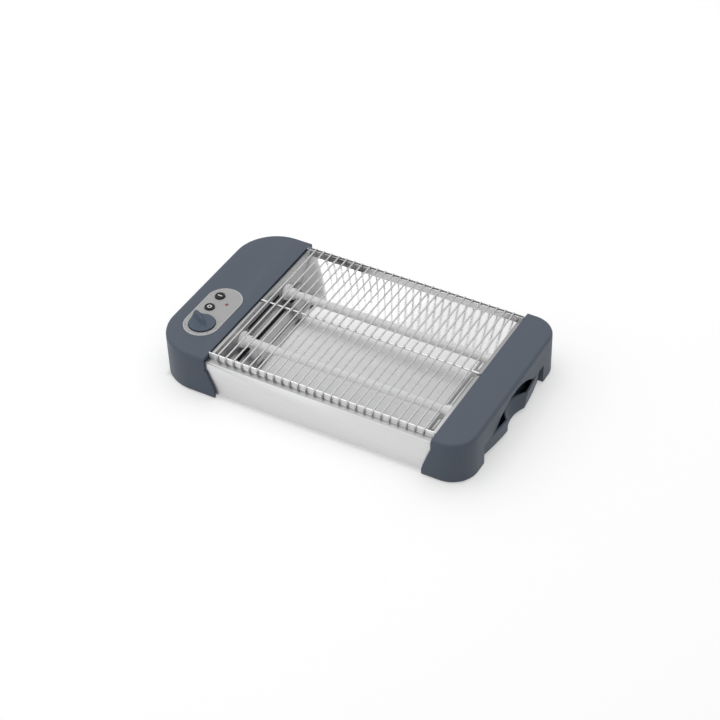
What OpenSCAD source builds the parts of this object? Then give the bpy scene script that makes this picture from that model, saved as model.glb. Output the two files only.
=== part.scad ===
// Flat two-tube toaster with end caps, sheet-steel trough, wire rack and a pull-out crumb tray.
// X runs from the control end to the tray end, Y from front to back, Z up from the table.

/* [Overall] */
// Length over everything, from the control end to the tray's pull
total_length = 390; // [360:1:440]
// Width over the end caps, front to back
total_width = 232; // [210:1:270]
// Height of the rack wires' top above the table
rack_height = 56; // [54:1:70]

/* [End caps] */
// Length of the control cap along the toaster
left_cap_length = 71; // [66:1:90]
// Length of the tray-end cap along the toaster
right_cap_length = 40; // [39:1:56]
// Radius of the control cap's outer corners, as a share of its length
left_corner_share = 0.7; // [0.5:0.01:0.72]
// Radius of the tray-end cap's outer corners
right_corner_r = 30; // [22:1:34]
// Thickness of the plastic walls
cap_wall = 2.5; // [2:0.1:2.8]
// Rounding of the caps' top edge
cap_edge_r = 4; // [3.5:0.5:7]
// How far the caps' top lies below the wires' top
cap_drop = 3; // [2:0.5:5]
// How far each foot flares over the steel panel
foot_flare = 11; // [6:0.5:16]

/* [Steel body] */
// Thickness of the sheet steel
sheet = 0.8; // [0.5:0.1:1]
// Width of the panels' top flange
flange_width = 8; // [6:0.5:12]
// Drop from the wires' top to the top flange
flange_drop = 8; // [6.5:0.5:9]
// Height of the reflectors' upright top band
band_height = 9; // [6:0.5:12]
// Height of the panels' lower edge above the table
panel_lift = 5; // [4:0.5:6]
// Width of the ledge along each end plate's top
end_ledge = 4; // [3.6:0.2:6]
// Length of the end plates' sloped foot
end_slope = 26; // [20:1:32]

/* [Wire rack] */
// Diameter of the cross wires
wire_d = 2; // [1.6:0.1:2.4]
// Distance between neighbouring cross wires
wire_pitch = 10; // [7:0.5:14]
// Diameter of the centre rod
rod_d = 2.4; // [1.8:0.1:2.8]

/* [Heaters] */
// Diameter of the quartz tubes
tube_d = 10; // [8:0.5:11]
// Wall of the quartz tubes
tube_wall = 1; // [0.8:0.1:1.4]
// Distance between the two tubes
tube_spacing = 94; // [80:1:104]
// Drop from the wires' top to the tubes' axis
tube_drop = 24; // [22:0.5:26]
// Diameter of the ceramic holders' flange
ceramic_d = 19; // [17:0.5:21]

/* [Controls] */
// Width of the control fascia
fascia_width = 42; // [38:1:46]
// Length of the control fascia
fascia_length = 87; // [80:1:110]
// Diameter of the knob's round base
knob_d = 30; // [26:0.5:33]
// Height of the knob above the cap
knob_height = 11.5; // [9:0.5:16]
// Diameter of the push buttons
button_d = 11.5; // [9:0.5:12.5]
// Travel of the push buttons
button_travel = 1.5; // [1:0.1:2]
// Diameter of the pilot lamp's lens
lamp_d = 4; // [3:0.5:5]

/* [Crumb tray] */
// Width of the crumb tray
tray_width = 140; // [120:1:146]
// Depth of the crumb tray's lip
tray_depth = 6; // [4:0.5:6.5]
// How far the pull bulges past the end cap's wall
pull_bulge = 4; // [3:0.5:8]
// Width of the thumb scoop
scoop_width = 40; // [30:1:50]
// Depth of the thumb scoop
scoop_depth = 5; // [3:0.5:6]

/* [Hidden] */
$fn = 64;

// Colours
plastic_colour = [0.36, 0.40, 0.46];
steel_colour = [0.80, 0.80, 0.80];
fascia_colour = [0.70, 0.69, 0.68];
dark_colour = [0.08, 0.08, 0.09];
ceramic_colour = [0.93, 0.93, 0.90];
glass_colour = [0.93, 0.93, 0.93, 0.6];
brass_colour = [0.75, 0.62, 0.35];
cream_colour = [0.85, 0.82, 0.74];
lead_colour = [0.86, 0.85, 0.80];

// Clearances
over = 1;
seam = 0.3;
hair = 0.1;
fit_play = 0.05;

// Main planes
left_end = -total_length / 2;
right_wall = total_length / 2 - pull_bulge;
left_inner = left_end + left_cap_length;
right_inner = right_wall - right_cap_length;
opening = right_inner - left_inner;
mid_x = (left_inner + right_inner) / 2;
half_width = total_width / 2;
cap_top = rack_height - cap_drop;
cap_ceiling = cap_top - cap_wall;
left_corner_r = left_cap_length * left_corner_share;
foot_z = 2;

// Sheet-steel body
panel_play = 0.5;
panel_face = half_width - cap_wall - panel_play;
upstand_face = panel_face - flange_width;
flange_z = rack_height - flange_drop;
cap_gap = 0.8;
panel_tuck = 6;
notch_play = 0.4;

// Rack
wire_r = wire_d / 2;
wire_z = rack_height - wire_r;
bend_inner_share = 0.6;
wire_bend_r = wire_r * (1 + bend_inner_share);
leg_y = upstand_face + hair + wire_r;
notch_z = wire_z - wire_r - seam;
upstand_top = wire_z + wire_r * bend_inner_share / 2;
end_margin = 12;
wire_count = floor((opening - 2 * end_margin) / wire_pitch) + 1;
rod_z = wire_z - wire_r - rod_d / 2 - fit_play;
ledge_z = rod_z - rod_d / 2 - seam;
rod_hook_drop = 7;

// Tray and its channel
channel_lip = 6;
channel_z = panel_lift - sheet;
tray_play = 0.4;
tray_half = tray_width / 2;
channel_face = tray_half + tray_play + sheet;
tray_z = channel_z + sheet + seam;
tray_top = tray_z + tray_depth;
trough_step = 2 * sheet + hair;
trough_foot_z = tray_top + trough_step;
tray_back_share = 0.5;
tray_back_x = left_inner + cap_gap + end_ledge + end_slope * tray_back_share;
pull_back = 11;
tray_end_x = right_wall - pull_back;
tray_flange_rise = 16;
tray_flange_top = tray_z + tray_flange_rise;
tray_flange_share = 0.857;
tray_flange_half = tray_half * tray_flange_share;

// End wall's cut-out and arch
foot_gap = 1.8;
cutout_half = tray_half + foot_gap;
cutout_z = 26;
arch_half = 46;
arch_lintel = 9;
arch_rise = cap_top - arch_lintel - cutout_z;
arch_r = (arch_half * arch_half + arch_rise * arch_rise) / (2 * arch_rise);
shelf_z = 14;
foot_plate = 2.5;

// Pull
pull_wall = 3.5;
pull_floor = 2;
pull_z = 13;
pull_gap = 0.5;
pull_top = cutout_z - pull_gap;
pull_half = tray_half + seam;
pull_end_setback = 3;
bow_mid_y = scoop_width / 2;
bow_drop = pull_bulge + pull_end_setback;
bow_r = (pull_half * pull_half - bow_mid_y * bow_mid_y) / (2 * bow_drop);
bow_centre_x = right_wall + pull_bulge - sqrt(bow_r * bow_r - bow_mid_y * bow_mid_y);
scoop_r = (bow_mid_y * bow_mid_y + scoop_depth * scoop_depth) / (2 * scoop_depth);
scoop_x = right_wall + pull_bulge - scoop_depth + scoop_r;
scoop_lean = 4;
rib_wall = 3;
backing = 2;
backing_lift = 1;

// Heaters
tube_y = tube_spacing / 2;
tube_z = rack_height - tube_drop;
plate_x = cap_gap + end_ledge;
disc_length = 4.5;
neck_length = 8;
neck_wall = 1.6;
boss_d = 9;
boss_length = 11;
web = 1.5;
stud_d = 3.8;
stud_out = 3;
tab_length = 3;
tab_thickness = 1;
slope_foot_x = plate_x + end_slope;
slope_top_z = tube_z - ceramic_d / 2 - seam;
coil_d = 5;

// Controls
fascia_thickness = 1.2;
fascia_proud = 0.2;
fascia_r = fascia_width / 2;
timer_side = 40;
timer_clear = 1.3;
terminal_reach = boss_length + stud_out + tab_length - plate_x;
fascia_x = left_inner - terminal_reach - timer_clear - timer_side / 2;
knob_y_share = 0.565;
knob_y = -half_width * knob_y_share;
fascia_far_y = knob_y + fascia_length - fascia_width;
fascia_top = cap_top + fascia_proud;
well_floor = fascia_top - fascia_thickness;
knob_x = fascia_x;
button_x_share = 0.18;
button_x = fascia_x - fascia_width * button_x_share;
off_y_share = 0.315;
off_y = knob_y + fascia_length * off_y_share;
on_y_share = 0.562;
on_y = knob_y + fascia_length * on_y_share;
lamp_x_share = 0.165;
lamp_x = fascia_x + fascia_width * lamp_x_share;
lamp_y_share = 0.46;
lamp_y = knob_y + fascia_length * lamp_y_share;
button_play = 0.25;
button_rise = button_travel + seam;
stem_d = 4;
button_lip = 1;
guide_depth = 6;
shaft_d = 6;
shaft_play = 1;
timer_depth = 24;
bush_height = 6.5;
timer_top = cap_ceiling - bush_height;
shaft_bottom = timer_top - timer_depth / 2;
shaft_reach = 7;
shaft_top = well_floor + shaft_reach;
switch_width = 15;
switch_depth = 18;
switch_drop = 4.5;
switch_top = cap_ceiling - switch_drop;
switch_bottom = switch_top - switch_depth;

// Base of the control cap
cover_lift = 1;
cover_thickness = 3.2;
cover_z = foot_z + cover_lift;
cover_top = cover_z + cover_thickness;
screw_seat = 2;
screw_depth = 12;
screw_hole_depth = 14;
boss_outer_d = 8;
screw_d = 2.6;
screw_head_d = 6;
screw_head_h = 1.8;
pad_r = 6;
boss_inset = 11;
boss_back = 8;
boss_side = 20;
boss_places = [
    [left_end + boss_inset, 0],
    [left_inner - boss_back, half_width - boss_side],
    [left_inner - boss_back, -half_width + boss_side]
];
left_pad_x_share = 0.38;
left_pad_x = left_end + left_cap_length * left_pad_x_share;
left_pad_y_share = 0.76;
left_pad_y = half_width - left_corner_r * left_pad_y_share;
left_pads = [[left_pad_x, left_pad_y], [left_pad_x, -left_pad_y]];
right_pad_inset = 22;
right_pads = [
    [right_wall - right_pad_inset, half_width - right_pad_inset],
    [right_wall - right_pad_inset, -half_width + right_pad_inset]
];

// Cord inlet in the control cap's back wall
gland_bore_r = 3.5;
gland_body_r = 6;
gland_flange_r = 8;
gland_flange = 1.3;
gland_length = 13;
gland_lock = 2;
gland_lock_r = gland_body_r + gland_flange;
gland_x = left_inner - panel_tuck - gland_flange_r - over;
gland_z = 20;

// Offset of an open chain of points to its left, with mitred corners
function unit(v) = v / norm(v);
function left_of(a, b) = let (d = unit(b - a)) [-d[1], d[0]];
function mitre(p, i, t) =
    i == 0 ? p[0] + t * left_of(p[0], p[1])
    : i == len(p) - 1 ? p[i] + t * left_of(p[i - 1], p[i])
    : let (m = left_of(p[i - 1], p[i]) + left_of(p[i], p[i + 1])) p[i] + m * (2 * t / (m * m));
function offset_chain(p, t) = [for (i = [0:len(p) - 1]) mitre(p, i, t)];
function reversed(p) = [for (i = [len(p) - 1:-1:0]) p[i]];
function mirrored(p) = [for (q = p) [-q[0], q[1]]];

// A folded sheet seen edge on
module folded(points, t) {
    polygon(concat(points, reversed(offset_chain(points, t))));
}

// Extrusions that send a flat outline's second axis up
module along_x(length) {
    rotate([90, 0, 90]) linear_extrude(length) children();
}
module along_y(length) {
    translate([0, length, 0]) rotate([90, 0, 0]) linear_extrude(length) children();
}
module rod_x(r, length) {
    rotate([0, 90, 0]) cylinder(r = r, h = length);
}
module rod_y(r, length) {
    rotate([-90, 0, 0]) cylinder(r = r, h = length);
}

// Places a right-hand end part at either end of the trough: x counts from a cap's inner edge
// into the trough
module at_left() {
    translate([left_inner, 0, 0]) children();
}
module at_right() {
    translate([right_inner, 0, 0]) mirror([1, 0, 0]) children();
}

// Section of a cap's rounded top edge, from its centre line out to radius r
module edge_section(r, z0, z1, f) {
    translate([0, z0]) square([r, z1 - f - z0]);
    translate([0, z0]) square([r - f, z1 - z0]);
    translate([r - f, z1 - f]) circle(f);
}

// D-shaped block with rounded outer corners and top edge: open side at x = 0, outer end at +x
module cap_block(length, hw, r, z0, z1, f) {
    along_x(length - r) {
        edge_section(hw, z0, z1, f);
        mirror([1, 0]) edge_section(hw, z0, z1, f);
    }
    translate([length - r, -(hw - r), 0]) along_y(2 * (hw - r)) edge_section(r, z0, z1, f);
    for (side = [0, 1]) {
        mirror([0, side, 0]) translate([length - r, hw - r, 0])
            rotate_extrude(angle = 90) edge_section(r, z0, z1, f);
    }
}

// Shell of a cap with an inner wall along its open side; the children stand inside it
module cap_shell(length, r) {
    inner_f = cap_edge_r - cap_wall / 2;
    difference() {
        cap_block(length, half_width, r, foot_z, cap_top, cap_edge_r);
        difference() {
            translate([cap_wall, 0, 0])
                cap_block(length - 2 * cap_wall, half_width - cap_wall, r - cap_wall,
                    foot_z - over, cap_ceiling, inner_f);
            children();
        }
    }
    for (side = [0, 1]) {
        mirror([0, side, 0]) foot_skirt();
    }
}

// Skirt that flares over the end of a steel panel
module foot_skirt() {
    skirt_height = cap_top - foot_z;
    step_share = 0.14;
    knee_share = 0.82;
    skirt_top_share = 0.66;
    skirt_knee_share = 0.27;
    skirt_heel_share = 0.12;
    points = [
        [over, foot_z],
        [-foot_flare, foot_z],
        [-foot_flare, foot_z + skirt_height * skirt_heel_share],
        [-foot_flare * knee_share, foot_z + skirt_height * skirt_knee_share],
        [-foot_flare * step_share, foot_z + skirt_height * skirt_top_share],
        [over, foot_z + skirt_height * skirt_top_share]
    ];
    translate([0, half_width - cap_wall, 0]) along_y(cap_wall) polygon(points);
}

// Slots in a cap's inner wall for the ends of the steel panels
module panel_slots() {
    for (side = [0, 1]) {
        mirror([0, side, 0])
            translate([-over, panel_face - sheet - panel_play, panel_lift - panel_play])
                cube([cap_wall + 2 * over, sheet + 2 * panel_play, flange_z - panel_lift + 2 * panel_play]);
    }
}

// Holes in a cap's inner wall for the tube holders' bosses
module holder_holes() {
    for (side = [-1, 1]) {
        translate([-over, side * tube_y, tube_z]) rod_x(boss_d / 2 + seam, cap_wall + 2 * over);
    }
}

module capsule(r, y0, y1) {
    translate([0, y0]) circle(r);
    translate([0, y1]) circle(r);
    translate([-r, y0]) square([2 * r, y1 - y0]);
}

module left_cap() {
    color(plastic_colour) difference() {
        translate([left_inner, 0, 0]) mirror([1, 0, 0]) difference() {
            cap_shell(left_cap_length, left_corner_r)
                for (p = boss_places) {
                    translate([left_inner - p[0], p[1], cover_top])
                        cylinder(d = boss_outer_d, h = cap_ceiling - cover_top + fit_play);
                }
            panel_slots();
            holder_holes();
        }
        for (p = boss_places) {
            translate([p[0], p[1], cover_top - over]) cylinder(d = screw_d, h = over + screw_hole_depth);
        }
        translate([fascia_x, 0, well_floor]) linear_extrude(fascia_thickness + over)
            capsule(fascia_r + hair, knob_y, fascia_far_y);
        translate([knob_x, knob_y, cap_ceiling - over]) cylinder(d = shaft_d + shaft_play, h = cap_wall + 2 * over);
        for (y = [off_y, on_y]) {
            translate([button_x, y, cap_ceiling - over])
                cylinder(r = button_d / 2 + button_play, h = cap_wall + 2 * over);
        }
        translate([lamp_x, lamp_y, cap_ceiling - over]) cylinder(d = lamp_d + 2 * hair, h = cap_wall + 2 * over);
        translate([gland_x, half_width - cap_wall - over, gland_z])
            rod_y(gland_body_r + hair, cap_wall + 2 * over);
        translate([gland_x, half_width - gland_flange, gland_z]) rod_y(gland_flange_r + hair, over + gland_flange);
    }
}

// Ventilated plate that closes the control cap from below
module left_base_cover() {
    gap = cap_wall + seam;
    vent_count = 7;
    vent_pitch = 6;
    vent_length = 30;
    vent_width = 2.4;
    color(plastic_colour) difference() {
        translate([left_inner, 0, 0]) mirror([1, 0, 0]) translate([gap, 0, 0])
            cap_plate(left_cap_length - 2 * gap, half_width - gap, left_corner_r - gap, cover_z, cover_thickness);
        for (p = boss_places) {
            translate([p[0], p[1], cover_z - over]) cylinder(d = screw_d + 2 * seam, h = cover_thickness + 2 * over);
            translate([p[0], p[1], cover_z - over]) cylinder(d = screw_head_d + 2 * seam, h = over + screw_seat);
        }
        for (i = [0:vent_count - 1]) {
            translate([left_end + left_cap_length / 2 - vent_length / 2, (i - (vent_count - 1) / 2) * vent_pitch,
                cover_z - over]) cube([vent_length, vent_width, cover_thickness + 2 * over]);
        }
    }
}

// D-shaped plate with rounded outer corners
module cap_plate(length, hw, r, z, t) {
    translate([0, 0, z]) linear_extrude(t) intersection() {
        union() {
            translate([0, -hw]) square([length - r, 2 * hw]);
            translate([0, -(hw - r)]) square([length, 2 * (hw - r)]);
            for (side = [-1, 1]) {
                translate([length - r, side * (hw - r)]) circle(r);
            }
        }
        translate([0, -hw]) square([length, 2 * hw]);
    }
}

module control_fascia() {
    color(fascia_colour) translate([fascia_x, 0, well_floor]) linear_extrude(fascia_thickness) difference() {
        capsule(fascia_r, knob_y, fascia_far_y);
        translate([0, knob_y]) circle(knob_d / 2 + 2 * seam);
        for (y = [off_y, on_y]) {
            translate([button_x - fascia_x, y]) circle(button_d / 2 + button_play);
        }
        translate([lamp_x - fascia_x, lamp_y]) circle(lamp_d / 2 + hair);
    }
}

// Knob: round base with a tapered fin grip across it
module timer_knob() {
    base_z = well_floor + seam;
    disc_share = 0.296;
    disc_top = fascia_top + knob_height * disc_share;
    knob_top = cap_top + knob_height;
    fin_z = fascia_top + seam;
    fin_height = knob_top - fin_z;
    fin_length_share = 1.06;
    fin_width_share = 0.34;
    fin_ridge_share = 0.5;
    fin_angle = 152;
    dish_r_share = 1.6;
    dish_r = knob_d * dish_r_share;
    dish_depth = 1;
    color(plastic_colour) translate([knob_x, knob_y, 0]) difference() {
        union() {
            difference() {
                rotate_extrude() translate([0, base_z]) knob_section(knob_d / 2, disc_top - base_z);
                translate([0, 0, disc_top + dish_r - dish_depth]) sphere(dish_r);
            }
            translate([0, 0, fin_z]) rotate([0, 0, fin_angle])
                fin(knob_d * fin_length_share, knob_d * fin_width_share, fin_height, fin_ridge_share);
        }
        translate([0, 0, base_z - over])
            cylinder(r = shaft_d / 2 + fit_play, h = over + shaft_top + seam - base_z);
    }
}

// Side of the knob's base, with a rounded rim
module knob_section(r, h) {
    rim = 1.2;
    square([r, h - rim]);
    square([r - rim, h]);
    translate([r - rim, h - rim]) circle(rim);
}

// Upright blade: rounded ends seen from above, narrow ridge seen end on, sloped nose seen from
// the side
module fin(length, width, height, ridge_share) {
    nose_share = 0.86;
    intersection() {
        linear_extrude(height) {
            circle_r = length;
            intersection() {
                translate([0, width / 2 - circle_r]) circle(circle_r, $fn = 128);
                translate([0, circle_r - width / 2]) circle(circle_r, $fn = 128);
                translate([-length / 2, -width / 2]) square([length, width]);
            }
        }
        translate([-length, 0, 0]) along_x(2 * length)
            polygon([
                [-width / 2, 0],
                [width / 2, 0],
                [width * ridge_share / 2, height * nose_share],
                [width * ridge_share / 4, height],
                [-width * ridge_share / 4, height],
                [-width * ridge_share / 2, height * nose_share]
            ]);
        translate([0, -width, 0]) along_y(2 * width)
            polygon([
                [-length / 2, 0],
                [length / 2, 0],
                [length / 2 * nose_share, height * nose_share],
                [length / 2 * nose_share * nose_share, height],
                [-length / 2 * nose_share * nose_share, height],
                [-length / 2 * nose_share, height * nose_share]
            ]);
    }
}

module timer_shaft() {
    color(steel_colour) translate([knob_x, knob_y, shaft_bottom]) cylinder(d = shaft_d, h = shaft_top - shaft_bottom);
}

module timer_body() {
    top = timer_top;
    color(cream_colour) difference() {
        union() {
            translate([knob_x - timer_side / 2, knob_y - timer_side / 2, top - timer_depth])
                cube([timer_side, timer_side, timer_depth]);
            translate([knob_x, knob_y, top - fit_play]) cylinder(d = 2 * shaft_d, h = bush_height + fit_play);
        }
        translate([knob_x, knob_y, shaft_bottom - seam])
            cylinder(r = shaft_d / 2 + fit_play, h = cap_ceiling - shaft_bottom + seam + over);
    }
}

// Push button: rounded cap with a lip under the ceiling, on a stem
module push_button(y) {
    lip_top = cap_ceiling - seam;
    lip_bottom = lip_top - button_lip;
    top = fascia_top + button_rise;
    stem_bottom = switch_top - guide_depth / 2;
    color(dark_colour) translate([button_x, y, 0]) {
        rotate_extrude() translate([0, lip_bottom]) button_section(button_d / 2, top - lip_bottom);
        translate([0, 0, lip_bottom]) cylinder(r = button_d / 2 + button_lip, h = lip_top - lip_bottom);
        translate([0, 0, stem_bottom]) cylinder(d = stem_d, h = lip_bottom - stem_bottom + fit_play);
    }
}

module button_section(r, h) {
    rim = 0.7;
    square([r, h - rim]);
    square([r - rim, h]);
    translate([r - rim, h - rim]) circle(rim);
}

module on_button() {
    push_button(on_y);
}

module off_button() {
    push_button(off_y);
}

// Block under both buttons, hung from the cap's ceiling by a post between them
module switch_block() {
    y0 = off_y - button_d / 2;
    y1 = on_y + button_d / 2;
    post_y0 = off_y + button_d / 2 + 2 * button_lip;
    post_y1 = on_y - button_d / 2 - 2 * button_lip;
    color(cream_colour) difference() {
        translate([button_x - switch_width / 2, 0, 0]) {
            translate([0, y0, switch_bottom]) cube([switch_width, y1 - y0, switch_depth]);
            translate([0, post_y0, switch_bottom]) cube([switch_width, post_y1 - post_y0, cap_ceiling - switch_bottom]);
        }
        for (y = [off_y, on_y]) {
            translate([button_x, y, switch_top - guide_depth]) cylinder(r = stem_d / 2 + fit_play, h = guide_depth + over);
        }
    }
}

module pilot_lamp_lens() {
    proud = 0.7;
    color([0.75, 0.25, 0.22]) translate([lamp_x, lamp_y, 0]) rotate_extrude()
        translate([0, cap_ceiling]) button_section(lamp_d / 2, fascia_top + proud - cap_ceiling);
}

module lamp_holder() {
    depth = 10;
    holder_d = lamp_d + 3 * cap_wall / 2;
    color(dark_colour) translate([lamp_x, lamp_y, cap_ceiling - depth]) cylinder(d = holder_d, h = depth);
}

module right_cap() {
    wall_x = right_cap_length - cap_wall - over;
    color(plastic_colour) translate([right_inner, 0, 0]) difference() {
        cap_shell(right_cap_length, right_corner_r)
            for (side = [-1, 1]) {
                foot_y = side > 0 ? cutout_half : -half_width;
                wall_y = side > 0 ? cutout_half : -cutout_half - cap_wall;
                translate([0, foot_y, foot_z]) cube([right_cap_length, half_width - cutout_half, foot_plate]);
                translate([0, wall_y, foot_z]) cube([right_cap_length, cap_wall, cutout_z - foot_z]);
                translate([cover_post_x, side * cover_post_y, shelf_z + cover_sheet])
                    cylinder(d = cover_post_d, h = cap_ceiling - shelf_z - cover_sheet + fit_play);
            }
        translate([wall_x, -cutout_half, 0]) cube([cap_wall + 2 * over, 2 * cutout_half, cutout_z]);
        translate([wall_x - over, 0, 0]) along_x(cap_wall + 4 * over) intersection() {
            translate([0, cutout_z + arch_rise - arch_r]) circle(arch_r, $fn = 128);
            translate([-cutout_half + over, shelf_z]) square([2 * (cutout_half - over), cap_top - shelf_z]);
        }
        translate([-over, -cutout_half, 0]) cube([cap_wall + 2 * over, 2 * cutout_half, shelf_z]);
        panel_slots();
        holder_holes();
        for (side = [-1, 1]) {
            translate([cover_post_x, side * cover_post_y, shelf_z]) cylinder(d = screw_d, h = screw_hole_depth);
        }
    }
}
cover_post_x = 8;
cover_post_y = cutout_half - cover_post_x;
cover_post_d = 6;
cover_sheet = 1.5;
cover_depth = 17;

// Open box that closes off the tubes' terminals above the tray
module terminal_cover() {
    half = cutout_half - seam;
    x0 = cap_wall + seam;
    height = cap_ceiling - hair - shelf_z;
    color(plastic_colour) translate([right_inner, 0, 0]) difference() {
        translate([x0, -half, shelf_z]) cube([cover_depth - x0, 2 * half, height]);
        translate([x0 - over, -half + cover_sheet, shelf_z + cover_sheet])
            cube([cover_depth - x0 - cover_sheet + over, 2 * (half - cover_sheet), height]);
        for (side = [-1, 1]) {
            translate([cover_post_x, side * cover_post_y, shelf_z - over])
                cylinder(d = screw_d + 2 * seam, h = cover_sheet + 2 * over);
        }
    }
}

module crumb_tray() {
    length = tray_end_x - tray_back_x;
    color(steel_colour) {
        difference() {
            translate([tray_back_x, -tray_half, tray_z]) cube([length, tray_width, tray_depth]);
            translate([tray_back_x + sheet, -tray_half + sheet, tray_z + sheet])
                cube([length - 2 * sheet, tray_width - 2 * sheet, tray_depth]);
        }
        translate([tray_end_x - sheet, -tray_flange_half, tray_z])
            cube([sheet, 2 * tray_flange_half, tray_flange_rise]);
    }
}

// Part of the plan inside the pull's outer bow
module bow_plan(inset) {
    intersection() {
        translate([bow_centre_x, 0]) circle(bow_r - inset, $fn = 256);
        translate([tray_end_x, -pull_half]) square([pull_back + pull_bulge + over, 2 * pull_half]);
    }
}

// Leaning cone that forms the thumb scoop, grown by a wall
module scoop_cone(grow) {
    translate([scoop_x, 0, pull_z - over])
        cylinder(r1 = scoop_r + grow - scoop_lean / (pull_top - pull_z) * over,
            r2 = scoop_r + grow + scoop_lean + scoop_lean / (pull_top - pull_z) * over,
            h = pull_top - pull_z + 2 * over, $fn = 128);
}

module tray_pull() {
    height = pull_top - pull_z;
    rib_reach = pull_back + pull_bulge;
    color(plastic_colour) {
        difference() {
            intersection() {
                translate([0, 0, pull_z]) linear_extrude(height) bow_plan(0);
                union() {
                    translate([0, 0, pull_z]) linear_extrude(height) difference() {
                        bow_plan(0);
                        bow_plan(pull_wall);
                    }
                    translate([tray_end_x, -pull_half, pull_z]) cube([rib_reach, 2 * pull_half, pull_floor]);
                    for (y = [-pull_half, pull_half - rib_wall, -bow_mid_y - rib_wall, bow_mid_y]) {
                        translate([tray_end_x, y, pull_z]) cube([rib_reach, rib_wall, height]);
                    }
                    intersection() {
                        scoop_cone(rib_wall);
                        translate([tray_end_x, -bow_mid_y, pull_z]) cube([rib_reach, scoop_width, height]);
                    }
                }
            }
            scoop_cone(0);
        }
        translate([tray_end_x, -tray_flange_half, tray_z + backing_lift])
            cube([backing, 2 * tray_flange_half, tray_flange_rise - backing_lift]);
    }
}

// Outer panel: upstand, top flange, face and the underside up to the tray's channel
panel_chain = [
    [-upstand_face, upstand_top],
    [-upstand_face, flange_z],
    [-panel_face, flange_z],
    [-panel_face, panel_lift],
    [-channel_face - hair, panel_lift]
];

module panel() {
    x0 = left_inner + cap_gap;
    length = opening - 2 * cap_gap;
    difference() {
        union() {
            translate([x0, 0, 0]) along_x(length) folded(panel_chain, sheet);
            translate([left_inner - panel_tuck, -panel_face, panel_lift])
                cube([opening + 2 * panel_tuck, sheet, flange_z - sheet - panel_lift]);
        }
        for (i = [0:wire_count - 1]) {
            translate([wire_x(i) - wire_r - notch_play / 2, -upstand_face - over, notch_z])
                cube([wire_d + notch_play, sheet + 2 * over, wire_d + seam]);
        }
    }
}
function wire_x(i) = mid_x + (i - (wire_count - 1) / 2) * wire_pitch;

module front_panel() {
    color(steel_colour) panel();
}

module rear_panel() {
    color(steel_colour) mirror([0, 1, 0]) panel();
}

// Inner reflector: upright band, slope, and the channel that the tray slides in
reflector_top = notch_z - seam;
band_foot_z = reflector_top - band_height;
reflector_face = upstand_face - sheet - hair;
reflector_chain = [
    [-reflector_face, reflector_top],
    [-reflector_face, band_foot_z],
    [-channel_face, trough_foot_z],
    [-channel_face, channel_z],
    [-channel_face + channel_lip, channel_z]
];

module reflector() {
    translate([left_inner + cap_gap, 0, 0]) along_x(opening - 2 * cap_gap) folded(reflector_chain, sheet);
}

module front_reflector() {
    color(steel_colour) reflector();
}

module rear_reflector() {
    color(steel_colour) mirror([0, 1, 0]) reflector();
}

// End plate: ledge, upright face and sloped foot, cut to the trough's section
end_chain = [
    [cap_gap, ledge_z],
    [plate_x, ledge_z],
    [plate_x, slope_top_z],
    [slope_foot_x, trough_foot_z]
];
trough_side = offset_chain(reflector_chain, sheet + hair);

module trough_section() {
    side = [
        [trough_side[0][0], rack_height],
        trough_side[1],
        trough_side[2],
        [trough_side[2][0], trough_foot_z - sheet]
    ];
    polygon(concat(side, reversed(mirrored(side))));
}

module end_plate() {
    slot = 2.6;
    slot_lift = 2.4;
    disc_clear = 4.5;
    mid_half = tube_y - ceramic_d / 2 - disc_clear;
    low_half = mid_half - sheet;
    outer_y = tube_y - slot;
    slope_angle = atan2(slope_top_z - trough_foot_z, end_slope);
    row_shares = [0.28, 0.8];
    outer_slot_shares = [0.95, 0.72];
    difference() {
        intersection() {
            translate([0, -half_width, 0]) along_y(2 * half_width) folded(end_chain, -sheet);
            translate([-over, 0, 0]) along_x(slope_foot_x + 2 * over) trough_section();
        }
        for (side = [-1, 1]) {
            translate([-over, side * tube_y, tube_z]) rod_x(boss_d / 2 + hair, plate_x + 2 * over);
        }
        translate([plate_x - sheet - over, -mid_half, tube_z + slot_lift])
            cube([sheet + 2 * over, 2 * mid_half, slot]);
        for (i = [0, 1]) {
            translate([plate_x + end_slope * row_shares[i], 0,
                slope_top_z - (slope_top_z - trough_foot_z) * row_shares[i]])
                rotate([0, slope_angle, 0]) {
                    translate([-slot / 2, -low_half, -sheet - over]) cube([slot, 2 * low_half, sheet + 2 * over]);
                    for (side = [0, 1]) {
                        mirror([0, side, 0]) translate([-slot / 2, outer_y, -sheet - over])
                            cube([slot, (tray_half - outer_y) * outer_slot_shares[i], sheet + 2 * over]);
                    }
                }
        }
        translate([-over, -rod_d / 2 - seam, ledge_z - sheet - over])
            cube([hook_x + rod_d / 2 + hair + over, rod_d + 2 * seam, sheet + 2 * over]);
    }
}
hook_x = cap_gap + (end_ledge - sheet) / 2;
rod_bend_r = 2.2;

module left_end_plate() {
    color(steel_colour) at_left() end_plate();
}

module right_end_plate() {
    color(steel_colour) at_right() end_plate();
}

// Bar along x with a quarter bend down at each end
module hooked_bar(half_length, r, bend_r, leg) {
    run = half_length - bend_r;
    translate([-run, 0, 0]) rod_x(r, 2 * run);
    for (side = [0, 1]) {
        mirror([side, 0, 0]) {
            translate([run, 0, -bend_r]) rotate([90, 0, 0]) rotate_extrude(angle = 90)
                translate([bend_r, 0]) circle(r);
            translate([half_length, 0, -bend_r - leg]) cylinder(r = r, h = leg);
        }
    }
}

module rack_wires() {
    leg = wire_z - wire_bend_r - flange_z;
    color(steel_colour) for (i = [0:wire_count - 1]) {
        translate([wire_x(i), 0, wire_z]) rotate([0, 0, 90]) hooked_bar(leg_y, wire_r, wire_bend_r, leg);
    }
}

module rack_rod() {
    color(steel_colour) translate([mid_x, 0, rod_z])
        hooked_bar(opening / 2 - hook_x, rod_d / 2, rod_bend_r, rod_hook_drop);
}

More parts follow.
